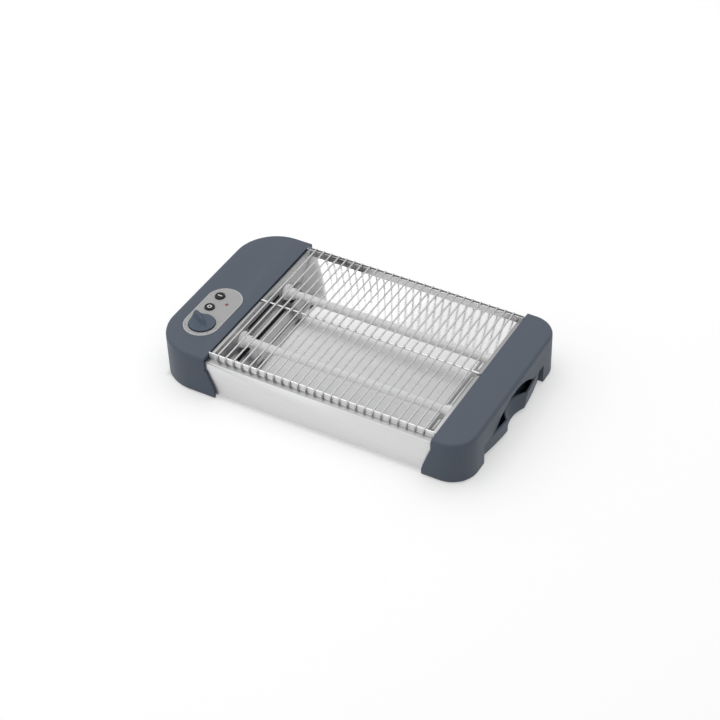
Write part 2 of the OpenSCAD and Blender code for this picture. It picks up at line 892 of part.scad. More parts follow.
// Tube holder on the x axis: its flange stands on the end plate at x = 0, its boss passes out
// through the plate
module tube_holder() {
    bore_r = tube_d / 2 + fit_play;
    neck_r = tube_d / 2 + neck_wall;
    chamfer = 0.8;
    rotate([0, 90, 0]) rotate_extrude() polygon([
        [stud_d / 2 + fit_play, -boss_length],
        [boss_d / 2, -boss_length],
        [boss_d / 2, 0],
        [ceramic_d / 2, 0],
        [ceramic_d / 2, disc_length - chamfer],
        [ceramic_d / 2 - chamfer, disc_length],
        [neck_r, disc_length],
        [neck_r, disc_length + neck_length - chamfer],
        [neck_r - chamfer, disc_length + neck_length],
        [bore_r, disc_length + neck_length],
        [bore_r, web],
        [stud_d / 2 + fit_play, web]
    ]);
}

module place_holder(side) {
    translate([plate_x, side * tube_y, tube_z]) children();
}

module ceramic_front_left() {
    color(ceramic_colour) at_left() place_holder(-1) tube_holder();
}

module ceramic_rear_left() {
    color(ceramic_colour) at_left() place_holder(1) tube_holder();
}

module ceramic_front_right() {
    color(ceramic_colour) at_right() place_holder(-1) tube_holder();
}

module ceramic_rear_right() {
    color(ceramic_colour) at_right() place_holder(1) tube_holder();
}

tube_x0 = left_inner + plate_x + web + fit_play;
tube_length = opening - 2 * (plate_x + web + fit_play);

module quartz_tube(side) {
    color(glass_colour) translate([tube_x0, side * tube_y, tube_z]) difference() {
        rod_x(tube_d / 2, tube_length);
        translate([-over, 0, 0]) rod_x(tube_d / 2 - tube_wall, tube_length + 2 * over);
    }
}

module quartz_tube_front() {
    quartz_tube(-1);
}

module quartz_tube_rear() {
    quartz_tube(1);
}

// Envelope of the wound heating wire
module heating_coil(side) {
    color([0.45, 0.43, 0.42]) translate([tube_x0, side * tube_y, tube_z]) rod_x(coil_d / 2, tube_length);
}

module heating_coil_front() {
    heating_coil(-1);
}

module heating_coil_rear() {
    heating_coil(1);
}

// Stud through each holder's boss, with a flat tab at its outer end
module tube_stud() {
    translate([-boss_length - stud_out, 0, 0]) rod_x(stud_d / 2, boss_length + stud_out + web);
    translate([-boss_length - stud_out - tab_length, -tab_thickness / 2, -stud_d / 2])
        cube([tab_length + fit_play, tab_thickness, stud_d]);
}

module tube_terminals() {
    color(brass_colour) for (side = [-1, 1]) {
        at_left() place_holder(side) tube_stud();
        at_right() place_holder(side) tube_stud();
    }
}
tab_out = boss_length + stud_out + tab_length / 2;
lead_r = 1.2;

// Lead that joins the two tubes at the tray end
module link_lead() {
    color(lead_colour) translate([right_inner - plate_x + tab_out, (tab_thickness - tube_spacing) / 2, tube_z])
        rod_y(lead_r, tube_spacing - tab_thickness);
}

block_x_share = 0.42;
block_x = left_end + left_cap_length * block_x_share;
block_y_share = 0.45;
block_y = half_width * block_y_share;
block_size = [14, 30, 12];
fuse_size = [6, 16, 8];

module terminal_block() {
    color(cream_colour) translate([block_x, block_y, cover_top]) cube(block_size);
}

module thermal_fuse() {
    color([0.75, 0.75, 0.72])
        translate([left_inner - cap_wall - fuse_size[0], -fuse_size[1] / 2, tube_z - fuse_size[2] / 2]) cube(fuse_size);
}

// Round lead through a chain of points, with ball corners
module lead(points) {
    for (i = [0:len(points) - 2]) {
        d = points[i + 1] - points[i];
        translate(points[i])
            rotate([0, acos(d[2] / norm(d)), atan2(d[1], d[0])]) cylinder(r = lead_r, h = norm(d));
    }
    for (i = [1:1:len(points) - 2]) {
        translate(points[i]) sphere(lead_r);
    }
}

// Leads: block to timer, timer to switch, switch to the front tube, rear tube to fuse, fuse to
// block
module inner_leads() {
    tab_x = left_inner + plate_x - tab_out;
    timer_bottom = timer_top - timer_depth;
    timer_lead_y = knob_y + timer_side / 4;
    switch_lead_y = (off_y + on_y) / 2;
    front_lead_y = off_y + 2 * lead_r;
    low_z = cover_top + 2 * lead_r;
    mid_z = (low_z + timer_bottom) / 2;
    fuse_x = left_inner - cap_wall - fuse_size[0] / 2;
    tab_face = tube_y - tab_thickness / 2;
    block_lead_x = block_x + block_size[0] / 2;
    block_lead_y = block_y + block_size[1] / 2;
    color(lead_colour) {
        lead([
            [block_lead_x, block_y, low_z],
            [block_lead_x, timer_lead_y, low_z],
            [block_lead_x, timer_lead_y, timer_bottom]
        ]);
        lead([
            [button_x, timer_lead_y, timer_bottom],
            [button_x, timer_lead_y, mid_z],
            [button_x, switch_lead_y, mid_z],
            [button_x, switch_lead_y, switch_bottom]
        ]);
        lead([
            [button_x + switch_width / 2, front_lead_y, tube_z],
            [tab_x, front_lead_y, tube_z],
            [tab_x, -tab_face, tube_z]
        ]);
        lead([
            [tab_x, tab_face, tube_z],
            [tab_x, tab_face - ceramic_d / 2, tube_z],
            [fuse_x, tab_face - ceramic_d / 2, tube_z],
            [fuse_x, fuse_size[1] / 2, tube_z]
        ]);
        lead([
            [fuse_x, 0, tube_z - fuse_size[2] / 2],
            [fuse_x, 0, low_z],
            [fuse_x, block_lead_y, low_z],
            [block_x + block_size[0], block_lead_y, low_z]
        ]);
    }
}

module cord_gland() {
    color(dark_colour) translate([gland_x, half_width - gland_length, gland_z]) difference() {
        union() {
            rod_y(gland_body_r, gland_length);
            translate([0, gland_length - gland_flange, 0]) rod_y(gland_flange_r, gland_flange);
            translate([0, gland_length - cap_wall - gland_lock - seam, 0]) rod_y(gland_lock_r, gland_lock);
        }
        translate([0, -over, 0]) rod_y(gland_bore_r, gland_length + 2 * over);
    }
}

module rubber_feet() {
    color(dark_colour) {
        for (p = left_pads) {
            translate([p[0], p[1], 0]) cylinder(r = pad_r, h = cover_z);
        }
        for (p = right_pads) {
            translate([p[0], p[1], 0]) cylinder(r = pad_r, h = foot_z);
        }
    }
}

module cover_screw() {
    translate([0, 0, -screw_head_h]) cylinder(d = screw_head_d, h = screw_head_h);
    translate([0, 0, -fit_play]) cylinder(d = screw_d - 2 * hair, h = screw_depth);
}

module cover_screws() {
    color(steel_colour) {
        for (p = boss_places) {
            translate([p[0], p[1], cover_z + screw_seat]) cover_screw();
        }
        for (side = [-1, 1]) {
            translate([right_inner + cover_post_x, side * cover_post_y, shelf_z]) cover_screw();
        }
    }
}

left_cap();
left_base_cover();
control_fascia();
timer_knob();
timer_shaft();
timer_body();
on_button();
off_button();
switch_block();
pilot_lamp_lens();
lamp_holder();
right_cap();
terminal_cover();
crumb_tray();
tray_pull();
front_panel();
rear_panel();
front_reflector();
rear_reflector();
left_end_plate();
right_end_plate();
rack_wires();
rack_rod();
quartz_tube_front();
quartz_tube_rear();
heating_coil_front();
heating_coil_rear();
ceramic_front_left();
ceramic_rear_left();
ceramic_front_right();
ceramic_rear_right();
tube_terminals();
link_lead();
terminal_block();
thermal_fuse();
inner_leads();
cord_gland();
rubber_feet();
cover_screws();
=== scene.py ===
"""Looks of a flat two-tube toaster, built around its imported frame.

Everything is in metres in the frame's own axes: X from the control end to the tray end, Y from
front to back, Z up from the table.
"""

import logging
import math
from dataclasses import dataclass, field
from enum import Enum
from typing import Callable, Dict, Iterable, List, Optional, Sequence, Tuple

import bmesh
import bpy
from mathutils import Matrix, Vector


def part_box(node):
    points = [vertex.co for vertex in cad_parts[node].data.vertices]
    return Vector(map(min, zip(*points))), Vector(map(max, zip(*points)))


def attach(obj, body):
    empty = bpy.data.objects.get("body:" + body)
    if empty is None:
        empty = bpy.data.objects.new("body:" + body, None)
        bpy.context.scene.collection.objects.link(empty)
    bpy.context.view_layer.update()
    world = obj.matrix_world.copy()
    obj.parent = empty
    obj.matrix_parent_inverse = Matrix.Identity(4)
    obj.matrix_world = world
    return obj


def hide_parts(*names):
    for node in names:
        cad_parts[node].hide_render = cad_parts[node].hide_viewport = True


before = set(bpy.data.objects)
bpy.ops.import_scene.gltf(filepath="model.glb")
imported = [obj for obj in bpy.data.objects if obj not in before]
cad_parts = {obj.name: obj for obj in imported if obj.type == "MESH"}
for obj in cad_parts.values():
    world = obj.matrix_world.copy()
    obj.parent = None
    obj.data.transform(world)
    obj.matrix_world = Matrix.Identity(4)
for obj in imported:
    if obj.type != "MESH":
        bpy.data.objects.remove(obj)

LOG = logging.getLogger("toaster")

# Points closer than this are one: on the seam of a turned piece, and in a mesh from the CAD.
SEAM = 1e-7
MERGE = 2e-6

# Angles in degrees: CAD faces that meet below FLAT are one, edges above FOLD are rounded, and the
# edges of a finished piece look sharp above SHARP.
FLAT = 0.6
FOLD = 32.0
SHARP = 40.0

# Edges of sheet steel that are shorter than this, such as a notch's, stay as they are.
SHEET_SHORTEST = 0.003

# Most values of a noise texture lie between these.
NOISE_LOW, NOISE_HIGH = 0.3, 0.7

Colour = Tuple[float, float, float]
Point = Tuple[float, float, float]
Profile = List[Tuple[float, float]]

WHITE: Colour = (1.0, 1.0, 1.0)


class Body(Enum):
    """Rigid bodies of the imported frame."""

    TOASTER = "toaster"
    TIMER = "timer"
    ON_KEY = "on_key"
    OFF_KEY = "off_key"
    TRAY = "tray"


class Axis(Enum):
    """Turning axis of a lathe-turned piece."""

    X = "x"
    Y = "y"
    Z = "z"


class Mark(Enum):
    """Symbol printed on a push button."""

    BAR = "bar"
    RING = "ring"


# ---------------------------------------------------------------- node trees


def toned(colour: Colour, share: float = 1.0) -> Tuple[float, float, float, float]:
    """Return a colour scaled by a share, with full alpha."""
    return (colour[0] * share, colour[1] * share, colour[2] * share, 1.0)


class NodeBuilder:
    """Short-hand for building a node tree."""

    def __init__(self, tree: bpy.types.NodeTree) -> None:
        """Keep the tree.

        Args:
            tree: the tree that gets the nodes.
        """
        self.tree = tree

    def fill(self, socket: bpy.types.NodeSocket, value: object) -> None:
        """Link an output to an input, or set the input's value.

        Args:
            socket: the input.
            value: an output socket, or a plain value.
        """
        if isinstance(value, bpy.types.NodeSocket):
            self.tree.links.new(value, socket)
        else:
            socket.default_value = value

    def add(self, kind: str, inputs: Optional[dict] = None, **props: object) -> bpy.types.Node:
        """Add a node.

        Args:
            kind: the node's type name.
            inputs: values or sockets by input name or index.
            props: properties set on the node itself.

        Returns:
            The new node.
        """
        node = self.tree.nodes.new(kind)
        for key, value in props.items():
            setattr(node, key, value)
        for key, value in (inputs or {}).items():
            self.fill(node.inputs[key], value)
        return node

    def math(self, operation: str, *values: object) -> bpy.types.NodeSocket:
        """Combine numbers with a Math node and return the result's socket."""
        return self.add("ShaderNodeMath", dict(enumerate(values)), operation=operation).outputs[0]


class ShadeTree(NodeBuilder):
    """Builds a material's tree, the world's or a shader node group."""

    def noise(self, where: object, scale: object, detail: float, roughness: float = 0.5,
              distortion: float = 0.0) -> bpy.types.NodeSocket:
        """Add a noise texture.

        Args:
            where: its coordinates.
            scale: how fine it is.
            detail: number of finer layers.
            roughness: strength of each finer layer.
            distortion: how far it is pushed about.

        Returns:
            Its value's socket.
        """
        return self.add("ShaderNodeTexNoise", {"Vector": where, "Scale": scale, "Detail": detail,
                                               "Roughness": roughness, "Distortion": distortion}).outputs[0]

    def mapped(self, where: object, **values: object) -> bpy.types.NodeSocket:
        """Add a Mapping node and return its result's socket."""
        return self.add("ShaderNodeMapping", {"Vector": where, **values}).outputs[0]

    def spread(self, value: object, low: float, high: float, to_low: float = 0.0,
               to_high: float = 1.0) -> bpy.types.NodeSocket:
        """Map a range of numbers onto another and clamp it.

        Args:
            value: the number or socket to map.
            low: start of the range that comes in.
            high: end of the range that comes in.
            to_low: result at low.
            to_high: result at high.

        Returns:
            The mapped value's socket.
        """
        node = self.add("ShaderNodeMapRange", {0: value, 1: low, 2: high, 3: to_low, 4: to_high})
        return node.outputs[0]

    def blend(self, factor: object, first: object, second: object) -> bpy.types.NodeSocket:
        """Mix two colours.

        Args:
            factor: share of the second colour.
            first: colour or socket.
            second: colour or socket.

        Returns:
            The mixed colour's socket.
        """
        node = self.add("ShaderNodeMix", {0: factor, 6: first, 7: second}, data_type="RGBA")
        return node.outputs[2]

    def drifting(self, factor: object, colour: Colour, low: float, high: float) -> bpy.types.NodeSocket:
        """Let a colour drift between two strengths.

        Args:
            factor: 0 for the first strength, 1 for the second.
            colour: the colour.
            low: first strength.
            high: second strength.

        Returns:
            The drifting colour's socket.
        """
        return self.blend(factor, toned(colour, low), toned(colour, high))

    def bumped(self, height: object, distance: float, strength: float = 0.5) -> bpy.types.NodeSocket:
        """Turn a height into a normal.

        Args:
            height: the height's socket.
            distance: depth of the relief in metres.
            strength: share of it that shows.

        Returns:
            The normal's socket.
        """
        return self.add("ShaderNodeBump", {"Height": height, "Distance": distance,
                                           "Strength": strength}).outputs[0]

    def seen(self) -> bpy.types.NodeSocket:
        """Tell rays of the camera, of mirrors and of clear glass from those that carry light.

        Returns:
            A socket that is 1 for the first and 0 for the others.
        """
        rays = self.add("ShaderNodeLightPath").outputs
        mirrored = self.math("MAXIMUM", rays["Is Glossy Ray"], rays["Is Transmission Ray"])
        return self.math("MAXIMUM", rays["Is Camera Ray"], mirrored)


@dataclass
class EffectGroup:
    """A shader node group that several finishes share, made once on first use."""

    name: str
    inputs: Sequence[Tuple[str, str, float]]
    outputs: Sequence[Tuple[str, str]]
    draw: Callable[[ShadeTree, bpy.types.Node, bpy.types.Node], None]
    group: Optional[bpy.types.NodeTree] = None

    def made(self) -> bpy.types.NodeTree:
        """Build the group if it isn't there yet.

        Returns:
            The group.
        """
        if self.group is None:
            self.group = bpy.data.node_groups.new(self.name, "ShaderNodeTree")
            for name, kind, default in self.inputs:
                socket = self.group.interface.new_socket(name, in_out="INPUT", socket_type=kind)
                if kind == "NodeSocketFloat":
                    socket.default_value = default
            for name, kind in self.outputs:
                self.group.interface.new_socket(name, in_out="OUTPUT", socket_type=kind)
            start = self.group.nodes.new("NodeGroupInput")
            end = self.group.nodes.new("NodeGroupOutput")
            self.draw(ShadeTree(self.group), start, end)
        return self.group

    def placed(self, shade: ShadeTree, **values: object) -> bpy.types.NodeOutputs:
        """Place the group in a material.

        Args:
            shade: the material's tree.
            values: its inputs, with underscores for spaces.

        Returns:
            The group node's outputs.
        """
        inputs = {key.replace("_", " "): value for key, value in values.items()}
        return shade.add("ShaderNodeGroup", inputs, node_tree=self.made()).outputs


def draw_moulded_grain(shade: ShadeTree, start: bpy.types.Node, end: bpy.types.Node) -> None:
    """Draw the fine spark-eroded grain of a plastic moulding, with a slow drift of tone.

    Args:
        shade: the group's tree.
        start: its input node.
        end: its output node.
    """
    specks_per_cell, cell_height, speck_height = 1.9, 0.7, 0.5
    place = start.outputs["Vector"]
    scale = shade.math("DIVIDE", 1.0, start.outputs["Grain Size"])
    cells = shade.add("ShaderNodeTexVoronoi", {"Vector": place, "Scale": scale, "Smoothness": 0.7},
                      feature="SMOOTH_F1").outputs["Distance"]
    specks = shade.noise(place, shade.math("MULTIPLY", scale, specks_per_cell), detail=2.0)
    drift = shade.noise(place, 22.0, detail=3.0, roughness=0.55)
    height = shade.math("ADD", shade.math("MULTIPLY", cells, cell_height),
                        shade.math("MULTIPLY", specks, speck_height))
    shade.fill(end.inputs["Height"], height)
    shade.fill(end.inputs["Fleck"], shade.spread(specks, NOISE_LOW, NOISE_HIGH))
    shade.fill(end.inputs["Drift"], shade.spread(drift, 0.35, 0.65))


def draw_rolled_grain(shade: ShadeTree, start: bpy.types.Node, end: bpy.types.Node) -> None:
    """Draw the long fine lines that rolling leaves in sheet steel, with faint smudges.

    Args:
        shade: the group's tree.
        start: its input node.
        end: its output node.
    """
    place = start.outputs["Vector"]
    drawn_out = shade.mapped(place, Scale=start.outputs["Stretch"])
    lines = shade.noise(drawn_out, 1.0, detail=5.0, roughness=0.6)
    broad = shade.noise(drawn_out, 0.18, detail=2.0)
    smudge = shade.noise(place, 34.0, detail=4.0, roughness=0.6, distortion=0.6)
    shade.fill(end.inputs["Height"], lines)
    shade.fill(end.inputs["Streak"], shade.spread(shade.math("ADD", lines, broad), 0.75, 1.25))
    shade.fill(end.inputs["Smudge"], shade.spread(smudge, 0.45, 0.72))


def draw_edge_rub(shade: ShadeTree, start: bpy.types.Node, end: bpy.types.Node) -> None:
    """Mask the edges that handling has rubbed, where a softened normal departs from the face's.

    Args:
        shade: the group's tree.
        start: its input node.
        end: its output node.
    """
    rub_width = 0.0007
    face = shade.add("ShaderNodeNewGeometry").outputs["Normal"]
    soft = shade.add("ShaderNodeBevel", {"Radius": rub_width}, samples=4).outputs[0]
    likeness = shade.add("ShaderNodeVectorMath", {0: face, 1: soft},
                         operation="DOT_PRODUCT").outputs["Value"]
    ragged = shade.spread(shade.noise(start.outputs["Vector"], 420.0, detail=3.0), 0.3, 0.62, to_low=0.35)
    rubbed = shade.math("MULTIPLY", shade.spread(likeness, 0.99, 0.80), ragged)
    shade.fill(end.inputs["Mask"], shade.math("MULTIPLY", rubbed, start.outputs["Amount"]))


MOULDED_GRAIN = EffectGroup(
    "moulded_grain",
    (("Vector", "NodeSocketVector", 0.0), ("Grain Size", "NodeSocketFloat", 0.0006)),
    (("Height", "NodeSocketFloat"), ("Fleck", "NodeSocketFloat"), ("Drift", "NodeSocketFloat")),
    draw_moulded_grain,
)
ROLLED_GRAIN = EffectGroup(
    "rolled_grain",
    (("Vector", "NodeSocketVector", 0.0), ("Stretch", "NodeSocketVector", 0.0)),
    (("Height", "NodeSocketFloat"), ("Streak", "NodeSocketFloat"), ("Smudge", "NodeSocketFloat")),
    draw_rolled_grain,
)
EDGE_RUB = EffectGroup(
    "edge_rub",
    (("Vector", "NodeSocketVector", 0.0), ("Amount", "NodeSocketFloat", 0.5)),
    (("Mask", "NodeSocketFloat"),),
    draw_edge_rub,
)


# ---------------------------------------------------------------- finishes

MATERIALS: Dict[str, bpy.types.Material] = {}


@dataclass(frozen=True)
class Finish:
    """Base of all finishes: a name, the record's slot, a colour and a roughness."""

    name: str
    slot: str
    colour: Colour
    roughness: float

    def material(self) -> bpy.types.Material:
        """Make this finish's material on first use.

        Returns:
            The material.
        """
        if self.name not in MATERIALS:
            MATERIALS[self.name] = self.made()
        return MATERIALS[self.name]

    def made(self) -> bpy.types.Material:
        """Build the material with its node tree.

        Returns:
            The new material.
        """
        made = bpy.data.materials.new(self.name)
        made.use_nodes = True
        made.diffuse_color = toned(self.colour)
        made.node_tree.nodes.clear()
        shade = ShadeTree(made.node_tree)
        inputs = {"Base Color": toned(self.colour), "Roughness": self.roughness}
        inputs.update(self.dress(shade, shade.add("ShaderNodeTexCoord").outputs["Object"]))
        surface = shade.add("ShaderNodeBsdfPrincipled", inputs)
        shade.add("ShaderNodeOutputMaterial", {"Surface": surface.outputs[0]})
        return made

    def dress(self, shade: ShadeTree, where: bpy.types.NodeSocket) -> Dict[str, object]:
        """Draw the surface's detail.

        Args:
            shade: the material's tree.
            where: object coordinates.

        Returns:
            Values or sockets for the Principled shader's inputs.
        """
        raise NotImplementedError

    def roughened(self, shade: ShadeTree, factor: object, less: float, more: float) -> bpy.types.NodeSocket:
        """Let the roughness drift about its own value.

        Args:
            shade: the material's tree.
            factor: what it follows.
            less: how far it goes below.
            more: how far it goes above.

        Returns:
            The roughness's socket.
        """
        return shade.spread(factor, NOISE_LOW, NOISE_HIGH, self.roughness - less, self.roughness + more)


@dataclass(frozen=True)
class MouldedPlastic(Finish):
    """Matt injection-moulded plastic with a fine grain and slightly rubbed edges."""

    grain: float = 0.0006
    depth: float = 0.00003
    rub: float = 0.35
    sheen: float = 0.32
    tones: Tuple[float, float] = (0.97, 1.03)
    fleck_tone: float = 1.12
    fleck_share: float = 0.25
    worn_tone: float = 1.3
    worn_gloss: float = 0.12

    def dress(self, shade: ShadeTree, where: bpy.types.NodeSocket) -> Dict[str, object]:
        """Draw grain, drift of tone and rubbed edges.

        Args:
            shade: the material's tree.
            where: object coordinates.

        Returns:
            Values or sockets for the Principled shader's inputs.
        """
        grain = MOULDED_GRAIN.placed(shade, Vector=where, Grain_Size=self.grain)
        rub = EDGE_RUB.placed(shade, Vector=where, Amount=self.rub)["Mask"]
        tone = shade.drifting(grain["Drift"], self.colour, *self.tones)
        flecked = shade.blend(shade.math("MULTIPLY", grain["Fleck"], self.fleck_share), tone,
                              toned(self.colour, self.fleck_tone))
        rough = shade.math("ADD", shade.math("MULTIPLY", grain["Drift"], 0.05), self.roughness - 0.02)
        return {
            "Base Color": shade.blend(rub, flecked, toned(self.colour, self.worn_tone)),
            "Roughness": shade.math("SUBTRACT", rough, shade.math("MULTIPLY", rub, self.worn_gloss)),
            "Normal": shade.bumped(grain["Height"], self.depth, 0.6),
            "Specular IOR Level": self.sheen,
        }


@dataclass(frozen=True)
class SheetSteel(Finish):
    """Stainless sheet with rolling lines and faint smudges."""

    stretch: Point = (14.0, 1600.0, 1600.0)
    depth: float = 0.000006
    streak: float = 0.06
    streak_gloss: float = 0.08
    smudge_gloss: float = 0.06

    def dress(self, shade: ShadeTree, where: bpy.types.NodeSocket) -> Dict[str, object]:
        """Draw streaks in tone and roughness, and a line-shaped relief.

        Args:
            shade: the material's tree.
            where: object coordinates.

        Returns:
            Values or sockets for the Principled shader's inputs.
        """
        grain = ROLLED_GRAIN.placed(shade, Vector=where, Stretch=self.stretch)
        streak = grain["Streak"]
        streaked = shade.math("MULTIPLY_ADD", streak, self.streak_gloss,
                              self.roughness - self.streak_gloss / 2)
        return {
            "Base Color": shade.drifting(streak, self.colour, 1.0 - self.streak, 1.0 + self.streak),
            "Roughness": shade.math("MULTIPLY_ADD", grain["Smudge"], self.smudge_gloss, streaked),
            "Normal": shade.bumped(grain["Height"], self.depth),
            "Metallic": 1.0,
        }


@dataclass(frozen=True)
class DrawnMetal(Finish):
    """Drawn, turned or plated metal: even, with soft variation along it."""

    variation: float = 0.08

    def dress(self, shade: ShadeTree, where: bpy.types.NodeSocket) -> Dict[str, object]:
        """Vary tone and roughness slowly over the surface.

        Args:
            shade: the material's tree.
            where: object coordinates.

        Returns:
            Values or sockets for the Principled shader's inputs.
        """
        noise = shade.noise(where, 260.0, detail=3.0)
        return {
            "Base Color": shade.drifting(noise, self.colour, 1.0 - self.variation, 1.0 + self.variation),
            "Roughness": self.roughened(shade, noise, self.roughness * 0.2, self.roughness * 0.25),
            "Metallic": 1.0,
        }


@dataclass(frozen=True)
class MilkQuartz(Finish):
    """Milky quartz tube: cloudy, and it lets a little light through."""

    clear: float = 0.03
    index: float = 1.46
    stretch: Point = (18.0, 240.0, 240.0)
    cloud_tone: float = 0.93

    def dress(self, shade: ShadeTree, where: bpy.types.NodeSocket) -> Dict[str, object]:
        """Draw clouds that are pulled out along the tube.

        Args:
            shade: the material's tree.
            where: object coordinates.

        Returns:
            Values or sockets for the Principled shader's inputs.
        """
        clouds = shade.noise(shade.mapped(where, Scale=self.stretch), 1.0, detail=4.0)
        return {
            "Base Color": shade.drifting(clouds, self.colour, self.cloud_tone, 1.0),
            "Roughness": self.roughened(shade, clouds, self.roughness * 0.2, self.roughness * 0.2),
            "Transmission Weight": self.clear,
            "IOR": self.index,
        }


@dataclass(frozen=True)
class FiredCeramic(Finish):
    """Unglazed white steatite with a chalky surface."""

    pore_depth: float = 0.00004
    warm_tone: float = 0.93

    def dress(self, shade: ShadeTree, where: bpy.types.NodeSocket) -> Dict[str, object]:
        """Draw pores and a warm drift of tone.

        Args:
            shade: the material's tree.
            where: object coordinates.

        Returns:
            Values or sockets for the Principled shader's inputs.
        """
        pores = shade.noise(where, 1500.0, detail=2.0)
        drift = shade.noise(where, 120.0, detail=2.0)
        return {
            "Base Color": shade.drifting(drift, self.colour, 1.0, self.warm_tone),
            "Roughness": self.roughened(shade, pores, 0.06, 0.06),
            "Normal": shade.bumped(pores, self.pore_depth),
        }


@dataclass(frozen=True)
class GlossMoulding(Finish):
    """Polished plastic with faint orange peel."""

    peel: float = 0.00001
    glow: float = 0.0
    sheen: float = 0.5
    smear_tone: float = 1.15
    smear_gloss: float = 0.12

    def dress(self, shade: ShadeTree, where: bpy.types.NodeSocket) -> Dict[str, object]:
        """Draw orange peel and smears.

        Args:
            shade: the material's tree.
            where: object coordinates.

        Returns:
            Values or sockets for the Principled shader's inputs.
        """
        peel = shade.noise(where, 700.0, detail=1.0)
        smear = shade.noise(where, 160.0, detail=3.0)
        return {
            "Base Color": shade.drifting(smear, self.colour, 1.0, self.smear_tone),
            "Roughness": shade.spread(smear, 0.35, 0.7, self.roughness, self.roughness + self.smear_gloss),
            "Normal": shade.bumped(peel, self.peel),
            "Transmission Weight": self.glow,
            "Specular IOR Level": self.sheen,
        }


@dataclass(frozen=True)
class WovenSleeve(Finish):
    """Glass-fibre sleeve over a lead."""

    pitch: float = 0.0009
    depth: float = 0.0001
    twist: Point = (0.6, 0.6, 0.8)
    gap_tone: float = 0.7

    def dress(self, shade: ShadeTree, where: bpy.types.NodeSocket) -> Dict[str, object]:
        """Draw crossing strands.

        Args:
            shade: the material's tree.
            where: object coordinates.

        Returns:
            Values or sockets for the Principled shader's inputs.
        """
        twisted = shade.mapped(where, Rotation=self.twist)
        waves = [shade.add("ShaderNodeTexWave", {"Vector": twisted, "Scale": 0.32 / self.pitch},
                           bands_direction=direction).outputs[1] for direction in ("X", "Y")]
        strands = shade.math("MAXIMUM", *waves)
        return {
            "Base Color": shade.drifting(strands, self.colour, self.gap_tone, 1.0),
            "Normal": shade.bumped(strands, self.depth, 0.6),
        }


@dataclass(frozen=True)
class Rubber(Finish):
    """Black rubber with a faint bloom."""

    grain: float = 0.0004
    depth: float = 0.00003
    bloom_tone: float = 1.8

    def dress(self, shade: ShadeTree, where: bpy.types.NodeSocket) -> Dict[str, object]:
        """Draw the bloom and a fine skin.

        Args:
            shade: the material's tree.
            where: object coordinates.

        Returns:
            Values or sockets for the Principled shader's inputs.
        """
        grain = MOULDED_GRAIN.placed(shade, Vector=where, Grain_Size=self.grain)
        bloom = shade.noise(where, 90.0, detail=3.0)
        return {
            "Base Color": shade.drifting(bloom, self.colour, 1.0, self.bloom_tone),
            "Roughness": self.roughened(shade, bloom, 0.08, 0.05),
            "Normal": shade.bumped(grain["Height"], self.depth),
        }


CAP_PLASTIC = MouldedPlastic("cap_moulding", "cap_plastic", (0.058, 0.077, 0.107), 0.52, sheen=0.5)
KNOB_PLASTIC = MouldedPlastic("knob_moulding", "cap_plastic", (0.052, 0.078, 0.115), 0.56,
                              depth=0.00002, sheen=0.5)
FASCIA_PLASTIC = MouldedPlastic("fascia_moulding", "fascia_plastic", (0.410, 0.408, 0.410), 0.45,
                                depth=0.00002)
FASCIA_RIM = MouldedPlastic("fascia_rim_moulding", "fascia_plastic", (0.56, 0.555, 0.55), 0.35,
                            depth=0.00001)
BUTTON_PLASTIC = GlossMoulding("key_gloss", "button_plastic", (0.008, 0.008, 0.009), 0.26, sheen=0.22)
LAMP_LENS = GlossMoulding("lamp_gloss", "lamp_plastic", (0.26, 0.060, 0.058), 0.30, glow=0.20)
WHITE_PRINT = GlossMoulding("white_print", "button_plastic", (0.72, 0.72, 0.70), 0.4)
DARK_PRINT = GlossMoulding("dark_print", "fascia_plastic", (0.05, 0.05, 0.055), 0.45)
# Painted shade: the panels' top flange is their own steel, darkened.
FLANGE_PAINTED_SHADE_STEEL = SheetSteel("flange_painted_shade_sheet", "sheet_steel", (0.30, 0.30, 0.305), 0.30)
OUTER_STEEL = SheetSteel("outer_sheet", "sheet_steel", (0.665, 0.665, 0.67), 0.36, streak=0.03,
                         depth=0.000003)
# Painted light and shade: the end plates' slope and ledge are their steel darkened, the upright wall is a
# lighter copy of it, and the slots' cut edges are near-black painted shade.
PLATE_PAINTED_SHADE_STEEL = SheetSteel("plate_painted_shade_sheet", "sheet_steel", (0.31, 0.31, 0.315), 0.30,
                         stretch=(1600.0, 14.0, 1600.0))
WALL_PAINTED_LIGHT_STEEL = SheetSteel("wall_painted_light_sheet", "sheet_steel", (0.49, 0.49, 0.495), 0.36,
                        stretch=(1600.0, 14.0, 1600.0))
SLOT_PAINTED_SHADE_STEEL = SheetSteel("slot_edge_painted_shade_sheet", "sheet_steel", (0.06, 0.06, 0.062), 0.45)
# Painted light: the front upstand is the panels' steel lightened as a painted highlight, and the rear
# upstand is that steel darkened as painted shade.
UPSTAND_PAINTED_HIGHLIGHT_STEEL = SheetSteel("upstand_painted_highlight_sheet", "sheet_steel", (0.93, 0.93, 0.93), 0.52)
REAR_UPSTAND_PAINTED_SHADE_STEEL = SheetSteel("rear_upstand_painted_shade_sheet", "sheet_steel", (0.27, 0.27, 0.275), 0.40)
MIRROR_STEEL = SheetSteel("mirror_sheet", "reflector_steel", (0.86, 0.86, 0.865), 0.13, streak=0.03,
                          depth=0.000003)
TRAY_STEEL = SheetSteel("tray_sheet", "sheet_steel", (0.61, 0.61, 0.615), 0.34, streak=0.04,
                        depth=0.000003)
WIRE_STEEL = DrawnMetal("drawn_wire", "wire_steel", (0.50, 0.50, 0.505), 0.26)
ROD_STEEL = DrawnMetal("drawn_rod", "wire_steel", (0.58, 0.58, 0.585), 0.24)
QUARTZ = MilkQuartz("milk_quartz", "quartz_glass", (0.965, 0.965, 0.962), 0.32)
STEATITE = FiredCeramic("fired_steatite", "steatite", (0.975, 0.973, 0.965), 0.48)
